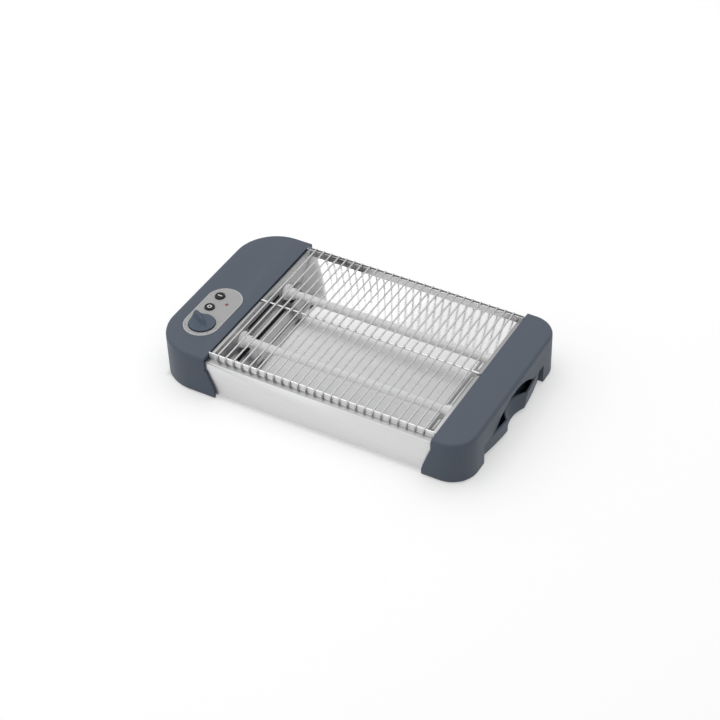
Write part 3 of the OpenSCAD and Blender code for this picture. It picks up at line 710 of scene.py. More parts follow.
COIL_WIRE = DrawnMetal("resistance_wire", "heating_wire", (0.30, 0.28, 0.27), 0.45)
BRASS = DrawnMetal("stamped_brass", "terminal_brass", (0.72, 0.55, 0.26), 0.3)
LEAD_SLEEVE = WovenSleeve("woven_sleeve", "lead_sleeve", (0.74, 0.72, 0.66), 0.8)
CREAM_PLASTIC = MouldedPlastic("cream_moulding", "inner_plastic", (0.70, 0.66, 0.55), 0.5)
DARK_PLASTIC = MouldedPlastic("dark_moulding", "dark_plastic", (0.022, 0.022, 0.025), 0.5)
RUBBER = Rubber("moulded_rubber", "rubber_black", (0.018, 0.018, 0.018), 0.72)
ZINC = DrawnMetal("zinc_plate", "screw_steel", (0.50, 0.51, 0.53), 0.3)
TURNED_STEEL = DrawnMetal("turned_bar", "shaft_steel", (0.55, 0.55, 0.55), 0.3)


# ---------------------------------------------------------------- mesh helpers


@dataclass
class Workshop:
    """Keeps count of the finished pieces and puts each on its body."""

    pieces: List[str] = field(default_factory=list)

    def finished(self, piece: bpy.types.Object, body: Body, finish: Finish,
                 stands_for: Sequence[str] = ()) -> None:
        """Dress a piece, put it on its body and report it.

        Args:
            piece: the object, at the origin.
            body: the body that it rides on.
            finish: its main finish, used if the mesh has no material yet.
            stands_for: CAD nodes that it replaces.
        """
        if not piece.data.materials:
            piece.data.materials.append(finish.material())
        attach(piece, body.value)
        if stands_for:
            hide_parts(*stands_for)
        self.pieces.append(piece.name)
        LOG.info("%s on %s, %d faces", piece.name, body.value, len(piece.data.polygons))

    def shaped(self, name: str, build: bmesh.types.BMesh, degrees: float, body: Body, finish: Finish,
               stands_for: Sequence[str] = ()) -> None:
        """Finish a piece that was drawn face by face.

        Args:
            name: the piece's name.
            build: its mesh data, freed here.
            degrees: angle from which an edge stays sharp, 0 for a piece of flat faces.
            body: the body that it rides on.
            finish: its finish.
            stands_for: CAD nodes that it replaces.
        """
        bmesh.ops.recalc_face_normals(build, faces=build.faces)
        mesh = bpy.data.meshes.new(name)
        build.to_mesh(mesh)
        build.free()
        if degrees:
            shade_by_angle(mesh, degrees)
        self.finished(new_object(name, mesh), body, finish, stands_for)

    def kept(self, node: str, finish: Finish) -> None:
        """Dress a CAD node that keeps its own shape.

        Args:
            node: the CAD node.
            finish: its finish.
        """
        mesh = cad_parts[node].data
        mesh.materials.clear()
        mesh.materials.append(finish.material())
        self.pieces.append(node)
        LOG.info("%s keeps its frame shape", node)


def middle(node: str) -> Point:
    """Return the middle of a CAD node's box."""
    return tuple((low + high) / 2 for low, high in zip(*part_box(node)))


def new_object(name: str, mesh: bpy.types.Mesh) -> bpy.types.Object:
    """Link a new object for a mesh.

    Args:
        name: the object's name.
        mesh: its mesh.

    Returns:
        The object, at the origin.
    """
    made = bpy.data.objects.new(name, mesh)
    bpy.context.scene.collection.objects.link(made)
    return made


def shade_by_angle(mesh: bpy.types.Mesh, degrees: float) -> None:
    """Shade a mesh smooth, with sharp edges above an angle.

    Args:
        mesh: the mesh to shade.
        degrees: angle from which an edge stays sharp.
    """
    mesh.polygons.foreach_set("use_smooth", [True] * len(mesh.polygons))
    mesh.set_sharp_from_angle(angle=math.radians(degrees))


def evaluated_mesh(source: bpy.types.Object) -> bpy.types.Mesh:
    """Work out an object's modifiers.

    Args:
        source: the object, which stays as it is.

    Returns:
        A plain mesh of the result.
    """
    graph = bpy.context.evaluated_depsgraph_get()
    graph.update()
    return bpy.data.meshes.new_from_object(source.evaluated_get(graph), preserve_all_data_layers=True,
                                           depsgraph=graph)


def merge(build: bmesh.types.BMesh) -> None:
    """Join the points of a mesh that lie together, and drop what that leaves without size.

    Args:
        build: the mesh data.
    """
    bmesh.ops.remove_doubles(build, verts=build.verts, dist=MERGE)
    bmesh.ops.dissolve_degenerate(build, edges=build.edges, dist=MERGE)


def softened(node: str, name: str, width: float, segments: int = 2, shortest: float = 0.0012,
             keep: Optional[Callable[[Vector], bool]] = None,
             shift: Optional[Callable[[Vector], Vector]] = None) -> bpy.types.Object:
    """Copy a CAD node and round its long edges.

    Args:
        node: the CAD node.
        name: the new piece's name.
        width: how far the rounding reaches from the edge.
        segments: faces across the rounding.
        shortest: edges shorter than this stay as they are.
        keep: chooses, by an edge's middle, which edges are rounded.
        shift: tells how far a point moves before the rounding.

    Returns:
        The new object.
    """
    build = bmesh.new()
    build.from_mesh(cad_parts[node].data)
    merge(build)
    bmesh.ops.dissolve_limit(build, angle_limit=math.radians(FLAT), verts=build.verts, edges=build.edges)
    if shift is not None:
        for vert in build.verts:
            vert.co += shift(vert.co)
    for layer in list(build.loops.layers.float_vector.keys()):
        build.loops.layers.float_vector.remove(build.loops.layers.float_vector[layer])
    weight = build.edges.layers.float.new("bevel_weight_edge")
    fold = math.radians(FOLD)
    for edge in build.edges:
        if len(edge.link_faces) != 2 or edge.calc_length() < shortest or edge.calc_face_angle(0.0) <= fold:
            continue
        if keep is None or keep((edge.verts[0].co + edge.verts[1].co) / 2):
            edge[weight] = 1.0
    mesh = bpy.data.meshes.new(name)
    build.to_mesh(mesh)
    build.free()
    mesh.materials.clear()
    piece = new_object(name, mesh)
    bevel = piece.modifiers.new("soft_edges", "BEVEL")
    bevel.limit_method = "WEIGHT"
    bevel.width = width
    bevel.segments = segments
    bevel.use_clamp_overlap = True
    bevel.loop_slide = True
    bevel.harden_normals = False
    piece.data = evaluated_mesh(piece)
    piece.modifiers.clear()
    bpy.data.meshes.remove(mesh)
    piece.data.name = name
    shade_by_angle(piece.data, SHARP)
    return piece


def turned(build: bmesh.types.BMesh, profile: Profile, centre: Point, axis: Axis, steps: int,
           flip: float = 1.0) -> None:
    """Turn a profile round an axis, as on a lathe.

    Args:
        build: mesh data that gets the new faces.
        profile: radius and height pairs, from one end to the other.
        centre: point on the axis at height zero.
        axis: direction of the axis.
        steps: faces round the axis.
        flip: -1 sends the heights the other way along the axis.
    """
    rings: List[List[bmesh.types.BMVert]] = []
    for radius, height in profile:
        count = 1 if radius < SEAM else steps
        ring = []
        for i in range(count):
            angle = 2 * math.pi * i / steps
            a, b, c = radius * math.cos(angle), radius * math.sin(angle), height * flip
            place = {Axis.X: (c, a, b), Axis.Y: (b, c, a), Axis.Z: (a, b, c)}[axis]
            ring.append(build.verts.new(Vector(place) + Vector(centre)))
        rings.append(ring)
    for low, high in zip(rings, rings[1:]):
        if len(low) == 1 and len(high) == 1:
            continue
        for i in range(steps):
            j = (i + 1) % steps
            if len(low) == 1:
                build.faces.new((low[0], high[j], high[i]))
            elif len(high) == 1:
                build.faces.new((low[i], low[j], high[0]))
            else:
                build.faces.new((low[i], low[j], high[j], high[i]))


def lathed(profile: Profile, centre: Point, axis: Axis, steps: int, flip: float = 1.0,
           closed: bool = False) -> bmesh.types.BMesh:
    """Turn one piece as on a lathe.

    Args:
        profile: radius and height pairs, from one end to the other.
        centre: point on the axis at height zero.
        axis: direction of the axis.
        steps: faces round the axis.
        flip: -1 sends the heights the other way along the axis.
        closed: whether the profile comes back to its first point.

    Returns:
        The piece's mesh data.
    """
    build = bmesh.new()
    turned(build, profile, centre, axis, steps, flip)
    if closed:
        bmesh.ops.remove_doubles(build, verts=build.verts, dist=SEAM)
    return build


def rounded(points: Sequence[Tuple[float, float, float]], steps: int = 4) -> Profile:
    """Round the corners of a profile.

    Args:
        points: radius, height and corner radius of each point.
        steps: segments in each rounded corner.

    Returns:
        The profile with arcs in place of the corners.
    """
    result: Profile = []
    last = len(points) - 1
    for i, (x, y, r) in enumerate(points):
        if r <= 0 or i in (0, last):
            result.append((x, y))
            continue
        here = Vector((x, y))
        before = (Vector(points[i - 1][:2]) - here).normalized()
        after = (Vector(points[i + 1][:2]) - here).normalized()
        start, end = here + before * r, here + after * r
        for k in range(steps + 1):
            t = k / steps
            spot = start * (1 - t) ** 2 + here * 2 * t * (1 - t) + end * t ** 2
            result.append((spot.x, spot.y))
    return result


# ---------------------------------------------------------------- geometry nodes


class GrowTree(NodeBuilder):
    """A Geometry Nodes tree that makes a repeating or path-shaped piece."""

    def __init__(self, name: str) -> None:
        """Start a tree with a geometry input, a geometry output and a material input.

        Args:
            name: the tree's name.
        """
        super().__init__(bpy.data.node_groups.new(name, "GeometryNodeTree"))
        face = self.tree.interface
        face.new_socket("Geometry", in_out="INPUT", socket_type="NodeSocketGeometry")
        face.new_socket("Geometry", in_out="OUTPUT", socket_type="NodeSocketGeometry")
        face.new_socket("Finish", in_out="INPUT", socket_type="NodeSocketMaterial")
        self.start = self.tree.nodes.new("NodeGroupInput")
        self.end = self.tree.nodes.new("NodeGroupOutput")

    def size(self, name: str, default: float, whole: bool = False) -> bpy.types.NodeSocket:
        """Add a named size.

        Args:
            name: the input's name.
            default: its default.
            whole: whether it is a whole number.

        Returns:
            The socket that carries it into the tree.
        """
        kind = "NodeSocketInt" if whole else "NodeSocketFloat"
        socket = self.tree.interface.new_socket(name, in_out="INPUT", socket_type=kind)
        socket.default_value = int(default) if whole else default
        return self.start.outputs[name]

    def vector(self, x: object = 0.0, y: object = 0.0, z: object = 0.0) -> bpy.types.NodeSocket:
        """Join three numbers into a vector and return its socket."""
        return self.add("ShaderNodeCombineXYZ", {"X": x, "Y": y, "Z": z}).outputs[0]

    def place(self) -> bpy.types.NodeSocket:
        """Add the sizes X, Y and Z and return the place that they name."""
        return self.vector(*[self.size(name, 0.0) for name in ("X", "Y", "Z")])

    def moved(self, shape: bpy.types.NodeSocket, way: object, **values: object) -> bpy.types.NodeSocket:
        """Move a shape.

        Args:
            shape: the shape.
            way: how far it moves.
            values: more inputs of the Transform node.

        Returns:
            The moved shape's socket.
        """
        return self.add("GeometryNodeTransform", {"Geometry": shape, "Translation": way,
                                                  **values}).outputs[0]

    def ring(self, radius: object, sides: int) -> bpy.types.NodeSocket:
        """Draw a circle, the section of a wire, and return its socket."""
        return self.add("GeometryNodeCurvePrimitiveCircle", {"Resolution": sides,
                                                             "Radius": radius}).outputs[0]

    def fillet(self, path: bpy.types.NodeSocket, radius: object, count: int) -> bpy.types.NodeSocket:
        """Round a path's corners.

        Args:
            path: the path.
            radius: radius of its corners.
            count: segments in each corner.

        Returns:
            The rounded path's socket.
        """
        return self.add("GeometryNodeFilletCurve", {"Curve": path, "Radius": radius, "Count": count},
                        mode="POLY").outputs[0]

    def swept(self, path: bpy.types.NodeSocket, section: bpy.types.NodeSocket,
              capped: bool = True) -> bpy.types.NodeSocket:
        """Sweep a section along a path.

        Args:
            path: the path.
            section: the section.
            capped: whether the ends are closed.

        Returns:
            The swept shape's socket.
        """
        return self.add("GeometryNodeCurveToMesh", {"Curve": path, "Profile Curve": section,
                                                    "Fill Caps": capped}).outputs[0]

    def repeated(self, points: bpy.types.NodeSocket, shape: bpy.types.NodeSocket) -> bpy.types.NodeSocket:
        """Put a shape on every point and return the socket of the result."""
        return self.add("GeometryNodeInstanceOnPoints", {"Points": points, "Instance": shape}).outputs[0]

    def finish(self, shape: bpy.types.NodeSocket, smooth: bool = True) -> None:
        """Realize the instances, set the material and end the tree.

        Args:
            shape: the geometry that the tree has made.
            smooth: whether its faces are shaded smooth.
        """
        real = self.add("GeometryNodeRealizeInstances", {"Geometry": shape}).outputs[0]
        if smooth:
            real = self.add("GeometryNodeSetShadeSmooth", {0: real}).outputs[0]
        dressed = self.add("GeometryNodeSetMaterial", {"Geometry": real,
                                                       "Material": self.start.outputs["Finish"]})
        self.fill(self.end.inputs[0], dressed.outputs[0])

    def grown(self, name: str, finish: Finish, sizes: Dict[str, float],
              seeds: Sequence[Point] = ()) -> bpy.types.Object:
        """Run the tree and keep its result as a plain mesh.

        Args:
            name: the new object's name.
            finish: material of the result.
            sizes: values of the tree's named inputs.
            seeds: points that the tree starts from.

        Returns:
            An object with a plain mesh and no modifier.
        """
        base = bpy.data.meshes.new(name + "_seeds")
        base.from_pydata([tuple(p) for p in seeds], [], [])
        host = new_object(name + "_host", base)
        modifier = host.modifiers.new("grow", "NODES")
        modifier.node_group = self.tree
        for item in self.tree.interface.items_tree:
            if item.item_type != "SOCKET" or item.in_out != "INPUT":
                continue
            if item.name == "Finish":
                modifier[item.identifier] = finish.material()
            elif item.name in sizes:
                modifier[item.identifier] = sizes[item.name]
        mesh = evaluated_mesh(host)
        mesh.name = name
        bpy.data.objects.remove(host)
        bpy.data.meshes.remove(base)
        return new_object(name, mesh)


def hooked_wire_tree() -> GrowTree:
    """Draw rows of round wires along Y, each with both ends bent down.

    Returns:
        The tree.
    """
    tree = GrowTree("hooked_wires")
    count = tree.size("Count", 26, whole=True)
    pitch, half = tree.size("Pitch", 0.01), tree.size("Half Length", 0.106)
    radius, bend = tree.size("Radius", 0.001), tree.size("Bend Radius", 0.0016)
    leg, level = tree.size("Leg", 0.007), tree.size("Level", 0.055)
    centre = tree.size("Middle", 0.0)
    # One wire has four points: foot and bend in front, bend and foot behind.
    line = tree.add("GeometryNodeMeshLine", {"Count": 4}).outputs[0]
    index = tree.add("GeometryNodeInputIndex").outputs[0]
    outer = tree.math("GREATER_THAN", index, 1.5)
    side = tree.math("SUBTRACT", tree.math("MULTIPLY", outer, 2.0), 1.0)
    centred = tree.math("ABSOLUTE", tree.math("SUBTRACT", index, 1.5))
    is_leg = tree.math("GREATER_THAN", centred, 1.0)
    corner = tree.vector(0.0, tree.math("MULTIPLY", side, half),
                         tree.math("MULTIPLY", tree.math("MULTIPLY", is_leg, leg), -1.0))
    placed = tree.add("GeometryNodeSetPosition", {"Geometry": line, "Position": corner}).outputs[0]
    path = tree.add("GeometryNodeMeshToCurve", {"Mesh": placed}).outputs[0]
    wire = tree.swept(tree.fillet(path, bend, count=6), tree.ring(radius, sides=12))
    span = tree.math("MULTIPLY", tree.math("SUBTRACT", count, 1.0), tree.math("MULTIPLY", pitch, 0.5))
    first = tree.vector(tree.math("SUBTRACT", centre, span), 0.0, level)
    row = tree.add("GeometryNodeMeshLine", {"Count": count, "Start Location": first,
                                            "Offset": tree.vector(pitch, 0.0, 0.0)}).outputs[0]
    tree.finish(tree.repeated(row, wire))
    return tree


def coil_tree() -> GrowTree:
    """Draw a close-wound heating coil along X.

    Returns:
        The tree.
    """
    tree = GrowTree("wound_coil")
    turns, radius = tree.size("Turns", 80.0), tree.size("Radius", 0.002)
    wire, length = tree.size("Wire", 0.0004), tree.size("Length", 0.25)
    place = tree.place()
    spiral = tree.add("GeometryNodeCurveSpiral", {
        "Resolution": 10, "Rotations": turns, "Start Radius": radius, "End Radius": radius,
        "Height": length}).outputs[0]
    coil = tree.swept(spiral, tree.ring(wire, sides=5))
    tree.finish(tree.moved(coil, place, Rotation=(0.0, math.pi / 2, 0.0)))
    return tree


def bead_tree() -> GrowTree:
    """Draw a bead that runs round a capsule.

    Returns:
        The tree.
    """
    tree = GrowTree("capsule_bead")
    width, length = tree.size("Width", 0.042), tree.size("Length", 0.087)
    bead, rise = tree.size("Bead", 0.0006), tree.size("Rise", 0.5)
    place = tree.place()
    oblong = tree.add("GeometryNodeCurvePrimitiveQuadrilateral", {"Width": width,
                                                                  "Height": length}).outputs[0]
    # A hair under half the width, so that the two arcs of an end never overlap.
    capsule = tree.fillet(oblong, tree.math("MULTIPLY", width, 0.4999), count=24)
    flat = tree.add("GeometryNodeTransform", {"Geometry": tree.ring(bead, sides=12),
                                              "Scale": tree.vector(1.0, rise, 1.0)}).outputs[0]
    tube = tree.swept(capsule, flat, capped=False)
    merged = tree.add("GeometryNodeMergeByDistance", {"Geometry": tube, "Distance": MERGE}).outputs[0]
    tree.finish(tree.moved(merged, place))
    return tree


def screw_tree() -> GrowTree:
    """Draw cross-head screws, heads down, one at each seed point.

    Returns:
        The tree.
    """
    tree = GrowTree("cross_screws")
    # The cross in a head: its bars' length and width as shares of the head's radius, and how deep
    # their middles lie as a share of its height.
    bar_length, bar_width, bar_level = 1.25, 0.24, -1.1
    head, height = tree.size("Head Radius", 0.003), tree.size("Head Height", 0.0018)
    shank, length = tree.size("Shank Radius", 0.0012), tree.size("Length", 0.012)
    disc = tree.add("GeometryNodeMeshCylinder", {"Vertices": 24, "Radius": head, "Depth": height},
                    fill_type="TRIANGLE_FAN").outputs[0]
    cut = tree.add("GeometryNodeMeshBoolean", operation="DIFFERENCE", solver="EXACT")
    tree.fill(cut.inputs[0], tree.moved(disc, tree.vector(z=tree.math("MULTIPLY", height, -0.5))))
    for turn in (0.0, math.pi / 2):
        size = tree.vector(tree.math("MULTIPLY", head, bar_length),
                           tree.math("MULTIPLY", head, bar_width), height)
        bar = tree.add("GeometryNodeMeshCube", {"Size": size}).outputs[0]
        down = tree.vector(z=tree.math("MULTIPLY", height, bar_level))
        tree.fill(cut.inputs[1], tree.moved(bar, down, Rotation=(0.0, 0.0, turn)))
    post = tree.add("GeometryNodeMeshCylinder", {"Vertices": 16, "Radius": shank,
                                                 "Depth": length}).outputs[0]
    whole = tree.add("GeometryNodeJoinGeometry")
    tree.fill(whole.inputs[0], cut.outputs[0])
    tree.fill(whole.inputs[0], tree.moved(post, tree.vector(z=tree.math("MULTIPLY", length, 0.5))))
    tree.finish(tree.repeated(tree.start.outputs["Geometry"], whole.outputs[0]), smooth=False)
    return tree


def dial_tick_tree() -> GrowTree:
    """Draw short ticks spread evenly along an arc round a dial.

    Returns:
        The tree.
    """
    tree = GrowTree("dial_ticks")
    count = tree.size("Count", 6, whole=True)
    print_depth = 0.00012
    radius, tick = tree.size("Radius", 0.018), tree.size("Tick", 0.0008)
    first, sweep = tree.size("First", -2.5), tree.size("Sweep", 3.1)
    place = tree.place()
    line = tree.add("GeometryNodeMeshLine", {"Count": count}).outputs[0]
    index = tree.add("GeometryNodeInputIndex").outputs[0]
    step = tree.math("DIVIDE", sweep, tree.math("SUBTRACT", count, 1.0))
    angle = tree.math("MULTIPLY_ADD", index, step, first)
    spot = tree.vector(tree.math("MULTIPLY", tree.math("COSINE", angle), radius),
                       tree.math("MULTIPLY", tree.math("SINE", angle), radius))
    placed = tree.add("GeometryNodeSetPosition", {"Geometry": line, "Position": spot}).outputs[0]
    dot = tree.add("GeometryNodeMeshCylinder", {"Vertices": 12, "Radius": tree.math("MULTIPLY", tick, 0.5),
                                                "Depth": print_depth}).outputs[0]
    tree.finish(tree.moved(tree.repeated(placed, dot), place), smooth=False)
    return tree


# ---------------------------------------------------------------- sub-assemblies


@dataclass
class EndCaps:
    """The two plastic end caps with what closes them."""

    edge: float = 0.0005
    plate_edge: float = 0.0003

    def build(self, shop: Workshop) -> None:
        """Make both caps, the base cover and the terminal cover.

        Args:
            shop: where the pieces are finished.
        """
        for node in ("left_cap", "right_cap"):
            cap = softened(node, node + "_shell", self.edge, segments=3)
            shop.finished(cap, Body.TOASTER, CAP_PLASTIC, (node,))
        for node in ("left_base_cover", "terminal_cover"):
            plate = softened(node, node + "_plate", self.plate_edge)
            shop.finished(plate, Body.TOASTER, CAP_PLASTIC, (node,))


@dataclass
class PanelPiece:
    """Places and sizes that the pieces on the control cap's top share."""

    centre_x: float = -0.1575
    knob_y: float = -0.0655
    knob_radius: float = 0.015
    fascia_top: float = 0.0532


@dataclass
class Fascia(PanelPiece):
    """The control cap's fascia plate with its rim and the dial's ticks."""

    edge: float = 0.00025
    width: float = 0.042
    length: float = 0.087
    rim_inset: float = 0.0014
    rim_bead: float = 0.0007
    rim_rise: float = 0.55
    tick_count: int = 6
    tick_gap: float = 0.0033
    tick_width: float = 0.0010
    tick_degrees: Tuple[float, float] = (-146, 181)

    def build(self, shop: Workshop) -> None:
        """Make the plate, its raised rim and the dial's ticks.

        Args:
            shop: where the pieces are finished.
        """
        plate = softened("control_fascia", "fascia_plate", self.edge)
        shop.finished(plate, Body.TOASTER, FASCIA_PLASTIC, ("control_fascia",))
        rim = bead_tree().grown("fascia_rim", FASCIA_RIM, {
            "Width": self.width - self.rim_inset, "Length": self.length - self.rim_inset,
            "Bead": self.rim_bead, "Rise": self.rim_rise, "X": self.centre_x,
            "Y": self.knob_y + (self.length - self.width) / 2, "Z": self.fascia_top})
        shop.finished(rim, Body.TOASTER, FASCIA_RIM)
        first, sweep = self.tick_degrees
        ticks = dial_tick_tree().grown("dial_ticks", DARK_PRINT, {
            "Count": self.tick_count, "Radius": self.knob_radius + self.tick_gap, "Tick": self.tick_width,
            "First": math.radians(first), "Sweep": math.radians(sweep),
            "X": self.centre_x, "Y": self.knob_y, "Z": self.fascia_top})
        shop.finished(ticks, Body.TOASTER, DARK_PRINT)


@dataclass
class Knob(PanelPiece):
    """The timer's knob, a rounded disc whose top rises into a tapered fin, and its shaft.

    The fin starts behind the middle and climbs along its length: fin_start and fin_climb are shares
    of the knob's radius. Its half width goes from fin_near to fin_far.
    """

    floor: float = 0.0523
    disc_height: float = 0.0030
    dish: float = 0.0005
    fin_degrees: float = 148.0
    fin_rise: float = 0.0072
    fin_start: float = 0.86
    fin_climb: float = 0.80
    fin_sag: float = 0.07
    fin_near: float = 0.0019
    fin_far: float = 0.0042
    fin_flank: float = 2.4
    rim: float = 0.0010
    skirt: Tuple[Tuple[float, float], ...] = ((0.0003, 0.0004), (0.0006, 0.0))
    steps: int = 144
    rings: int = 40
    rim_rings: int = 6
    sharp: float = 60.0
    shaft_edge: float = 0.0002
    shaft_reach: float = 0.0020

    def height(self, u: float, v: float) -> float:
        """Height of the knob's top over its floor.

        Args:
            u: distance along the fin, towards its pointer.
            v: distance across the fin.

        Returns:
            The height in metres.
        """
        reach = u / self.knob_radius
        away = math.hypot(u, v) / self.knob_radius
        disc = self.disc_height - self.dish * max(0.0, 1.0 - away)
        climb = min(1.0, max(0.0, (reach + self.fin_start) / self.fin_climb))
        rise = self.fin_rise * climb * climb * (3 - 2 * climb) * (1.0 - self.fin_sag * reach * reach)
        span = (reach + self.fin_start) / (1.0 + self.fin_start)
        width = max(self.fin_near + (self.fin_far - self.fin_near) * span, 1e-4)
        return disc + rise * math.exp(-((abs(v) / width) ** self.fin_flank))

    def circle(self, build: bmesh.types.BMesh, radius: float, drop: float,
               level: Optional[float] = None) -> List[bmesh.types.BMVert]:
        """Draw one circle of the knob.

        Args:
            build: mesh data that gets its points.
            radius: its radius.
            drop: how far it lies under the knob's top.
            level: its height over the knob's floor, where it doesn't follow the top.

        Returns:
            Its points in order.
        """
        turn, inner = math.radians(self.fin_degrees), min(radius, self.knob_radius - self.rim)
        points = []
        for i in range(self.steps):
            angle = 2 * math.pi * i / self.steps
            height = level
            if level is None:
                height = self.height(inner * math.cos(angle), inner * math.sin(angle)) - drop
            points.append(build.verts.new((self.centre_x + radius * math.cos(angle + turn),
                                           self.knob_y + radius * math.sin(angle + turn),
                                           self.floor + height)))
        return points

    def build(self, shop: Workshop) -> None:
        """Make the knob and the shaft.

        Args:
            shop: where the pieces are finished.
        """
        build = bmesh.new()
        inner = self.knob_radius - self.rim
        rows = [self.circle(build, inner * (k / self.rings), 0.0) for k in range(1, self.rings + 1)]
        for k in range(1, self.rim_rings + 1):
            bend = k / self.rim_rings * math.pi / 2
            radius, drop = inner + self.rim * math.sin(bend), self.rim * (1 - math.cos(bend))
            rows.append(self.circle(build, radius, drop))
        for inset, level in self.skirt:
            rows.append(self.circle(build, self.knob_radius - inset, 0.0, level))
        centre = build.verts.new((self.centre_x, self.knob_y, self.floor + self.height(0.0, 0.0)))
        foot = build.verts.new((self.centre_x, self.knob_y, self.floor))
        for i in range(self.steps):
            j = (i + 1) % self.steps
            build.faces.new((centre, rows[0][i], rows[0][j]))
            build.faces.new((foot, rows[-1][j], rows[-1][i]))
            for low, high in zip(rows, rows[1:]):
                build.faces.new((low[i], high[i], high[j], low[j]))
        shop.shaped("timer_knob_grip", build, self.sharp, Body.TIMER, KNOB_PLASTIC, ("timer_knob",))
        shaft = softened("timer_shaft", "timer_shaft_bar", self.shaft_edge, shift=self.shortened)
        shop.finished(shaft, Body.TIMER, TURNED_STEEL, ("timer_shaft",))

    def shortened(self, point: Vector) -> Vector:
        """Return how far a point of the shaft moves so that it ends inside the knob."""
        return Vector((0.0, 0.0, min(0.0, self.floor + self.shaft_reach - point.z)))


@dataclass
class PushButtons(PanelPiece):
    """The "I" and "O" buttons with their printed marks, and the pilot lamp beside them."""

    x: float = -0.1651
    on_y: float = -0.0166
    off_y: float = -0.0381
    radius: float = 0.00575
    top: float = 0.0550
    stem: float = 0.002
    ledge: Tuple[float, float] = (0.0492, 0.0502)
    ledge_width: float = 0.001
    dish_shares: Tuple[float, float] = (0.78, 0.70)
    dish: Tuple[float, float] = (0.00035, 0.00045)
    mark_depth: float = 0.0004
    bar_lift: float = 0.00004
    bar_round: float = 0.0003
    ring_mark: Tuple[float, float, float] = (0.0014, 0.0026, 0.00009)
    bar_mark: Tuple[float, float, float] = (0.0056, 0.0013, 0.0001)
    lens_rise: float = 0.0007

    def build(self, shop: Workshop) -> None:
        """Make both buttons and the lamp.

        Args:
            shop: where the pieces are finished.
        """
        self.build_button(shop, "on_button", self.on_y, Body.ON_KEY, Mark.BAR)
        self.build_button(shop, "off_button", self.off_y, Body.OFF_KEY, Mark.RING)
        self.build_lamp(shop)

    def build_button(self, shop: Workshop, node: str, y: float, body: Body, mark: Mark) -> None:
        """Make one push button with its printed mark.

        Args:
            shop: where the pieces are finished.
            node: the CAD node that it replaces.
            y: the button's centre line.
            body: its moving body.
            mark: the symbol on it.
        """
        foot, radius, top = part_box(node)[0].z, self.radius, self.top
        ledge, (under, over) = radius + self.ledge_width, self.ledge
        rim, hollow = self.dish_shares
        profile = rounded([
            (0.0, foot, 0), (self.stem, foot, 0.0002), (self.stem, under, 0.0), (ledge, under, 0.0002),
            (ledge, over, 0.0002), (radius, over, 0.0), (radius, top, 0.0008),
            (radius * rim, top, 0.0003), (radius * hollow, top - self.dish[0], 0.0003),
            (0.0, top - self.dish[1], 0)])
        build = lathed(profile, (self.x, y, 0.0), Axis.Z, steps=64)
        shop.shaped(node + "_cap", build, SHARP, body, BUTTON_PLASTIC, (node,))
        drawn = self.ring if mark is Mark.RING else self.bar
        shop.shaped(node + "_mark", drawn((self.x, y, top - self.mark_depth)), 0.0, body, WHITE_PRINT)

    def ring(self, place: Point) -> bmesh.types.BMesh:
        """Draw the ring.

        Args:
            place: the middle of its underside.

        Returns:
            Its mesh data.
        """
        inner, outer, thick = self.ring_mark
        profile = [(inner, 0.0), (inner, thick), (outer, thick), (outer, 0.0), (inner, 0.0)]
        return lathed(profile, place, Axis.Z, steps=40, closed=True)

    def bar(self, place: Point) -> bmesh.types.BMesh:
        """Draw the bar, with rounded corners.

        Args:
            place: the middle of its underside.

        Returns:
            Its mesh data.
        """
        build = bmesh.new()
        raised = Matrix.Translation((place[0], place[1], place[2] + self.bar_lift))
        bmesh.ops.create_cube(build, size=1.0, matrix=raised @ Matrix.Diagonal((*self.bar_mark, 1.0)))
        upright = [e for e in build.edges if abs(e.verts[0].co.z - e.verts[1].co.z) > 1e-5]
        bmesh.ops.bevel(build, geom=upright, offset=self.bar_round, segments=3, affect="EDGES")
        return build

    def build_lamp(self, shop: Workshop) -> None:
        """Make the pilot lamp's domed lens.

        Args:
            shop: where the piece is finished.
        """
        low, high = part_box("pilot_lamp_lens")
        x, y, _ = middle("pilot_lamp_lens")
        radius = (high.x - low.x) / 2
        dome = [(radius * math.cos(a), self.fascia_top + self.lens_rise * math.sin(a))
                for a in (math.pi / 2 * k / 8 for k in range(9))]
        profile = [(0.0, low.z), (radius, low.z)] + dome[:-1] + [(0.0, dome[-1][1])]
        build = lathed(profile, (x, y, 0.0), Axis.Z, steps=40)
        shop.shaped("pilot_lamp_dome", build, SHARP, Body.TOASTER, LAMP_LENS, ("pilot_lamp_lens",))


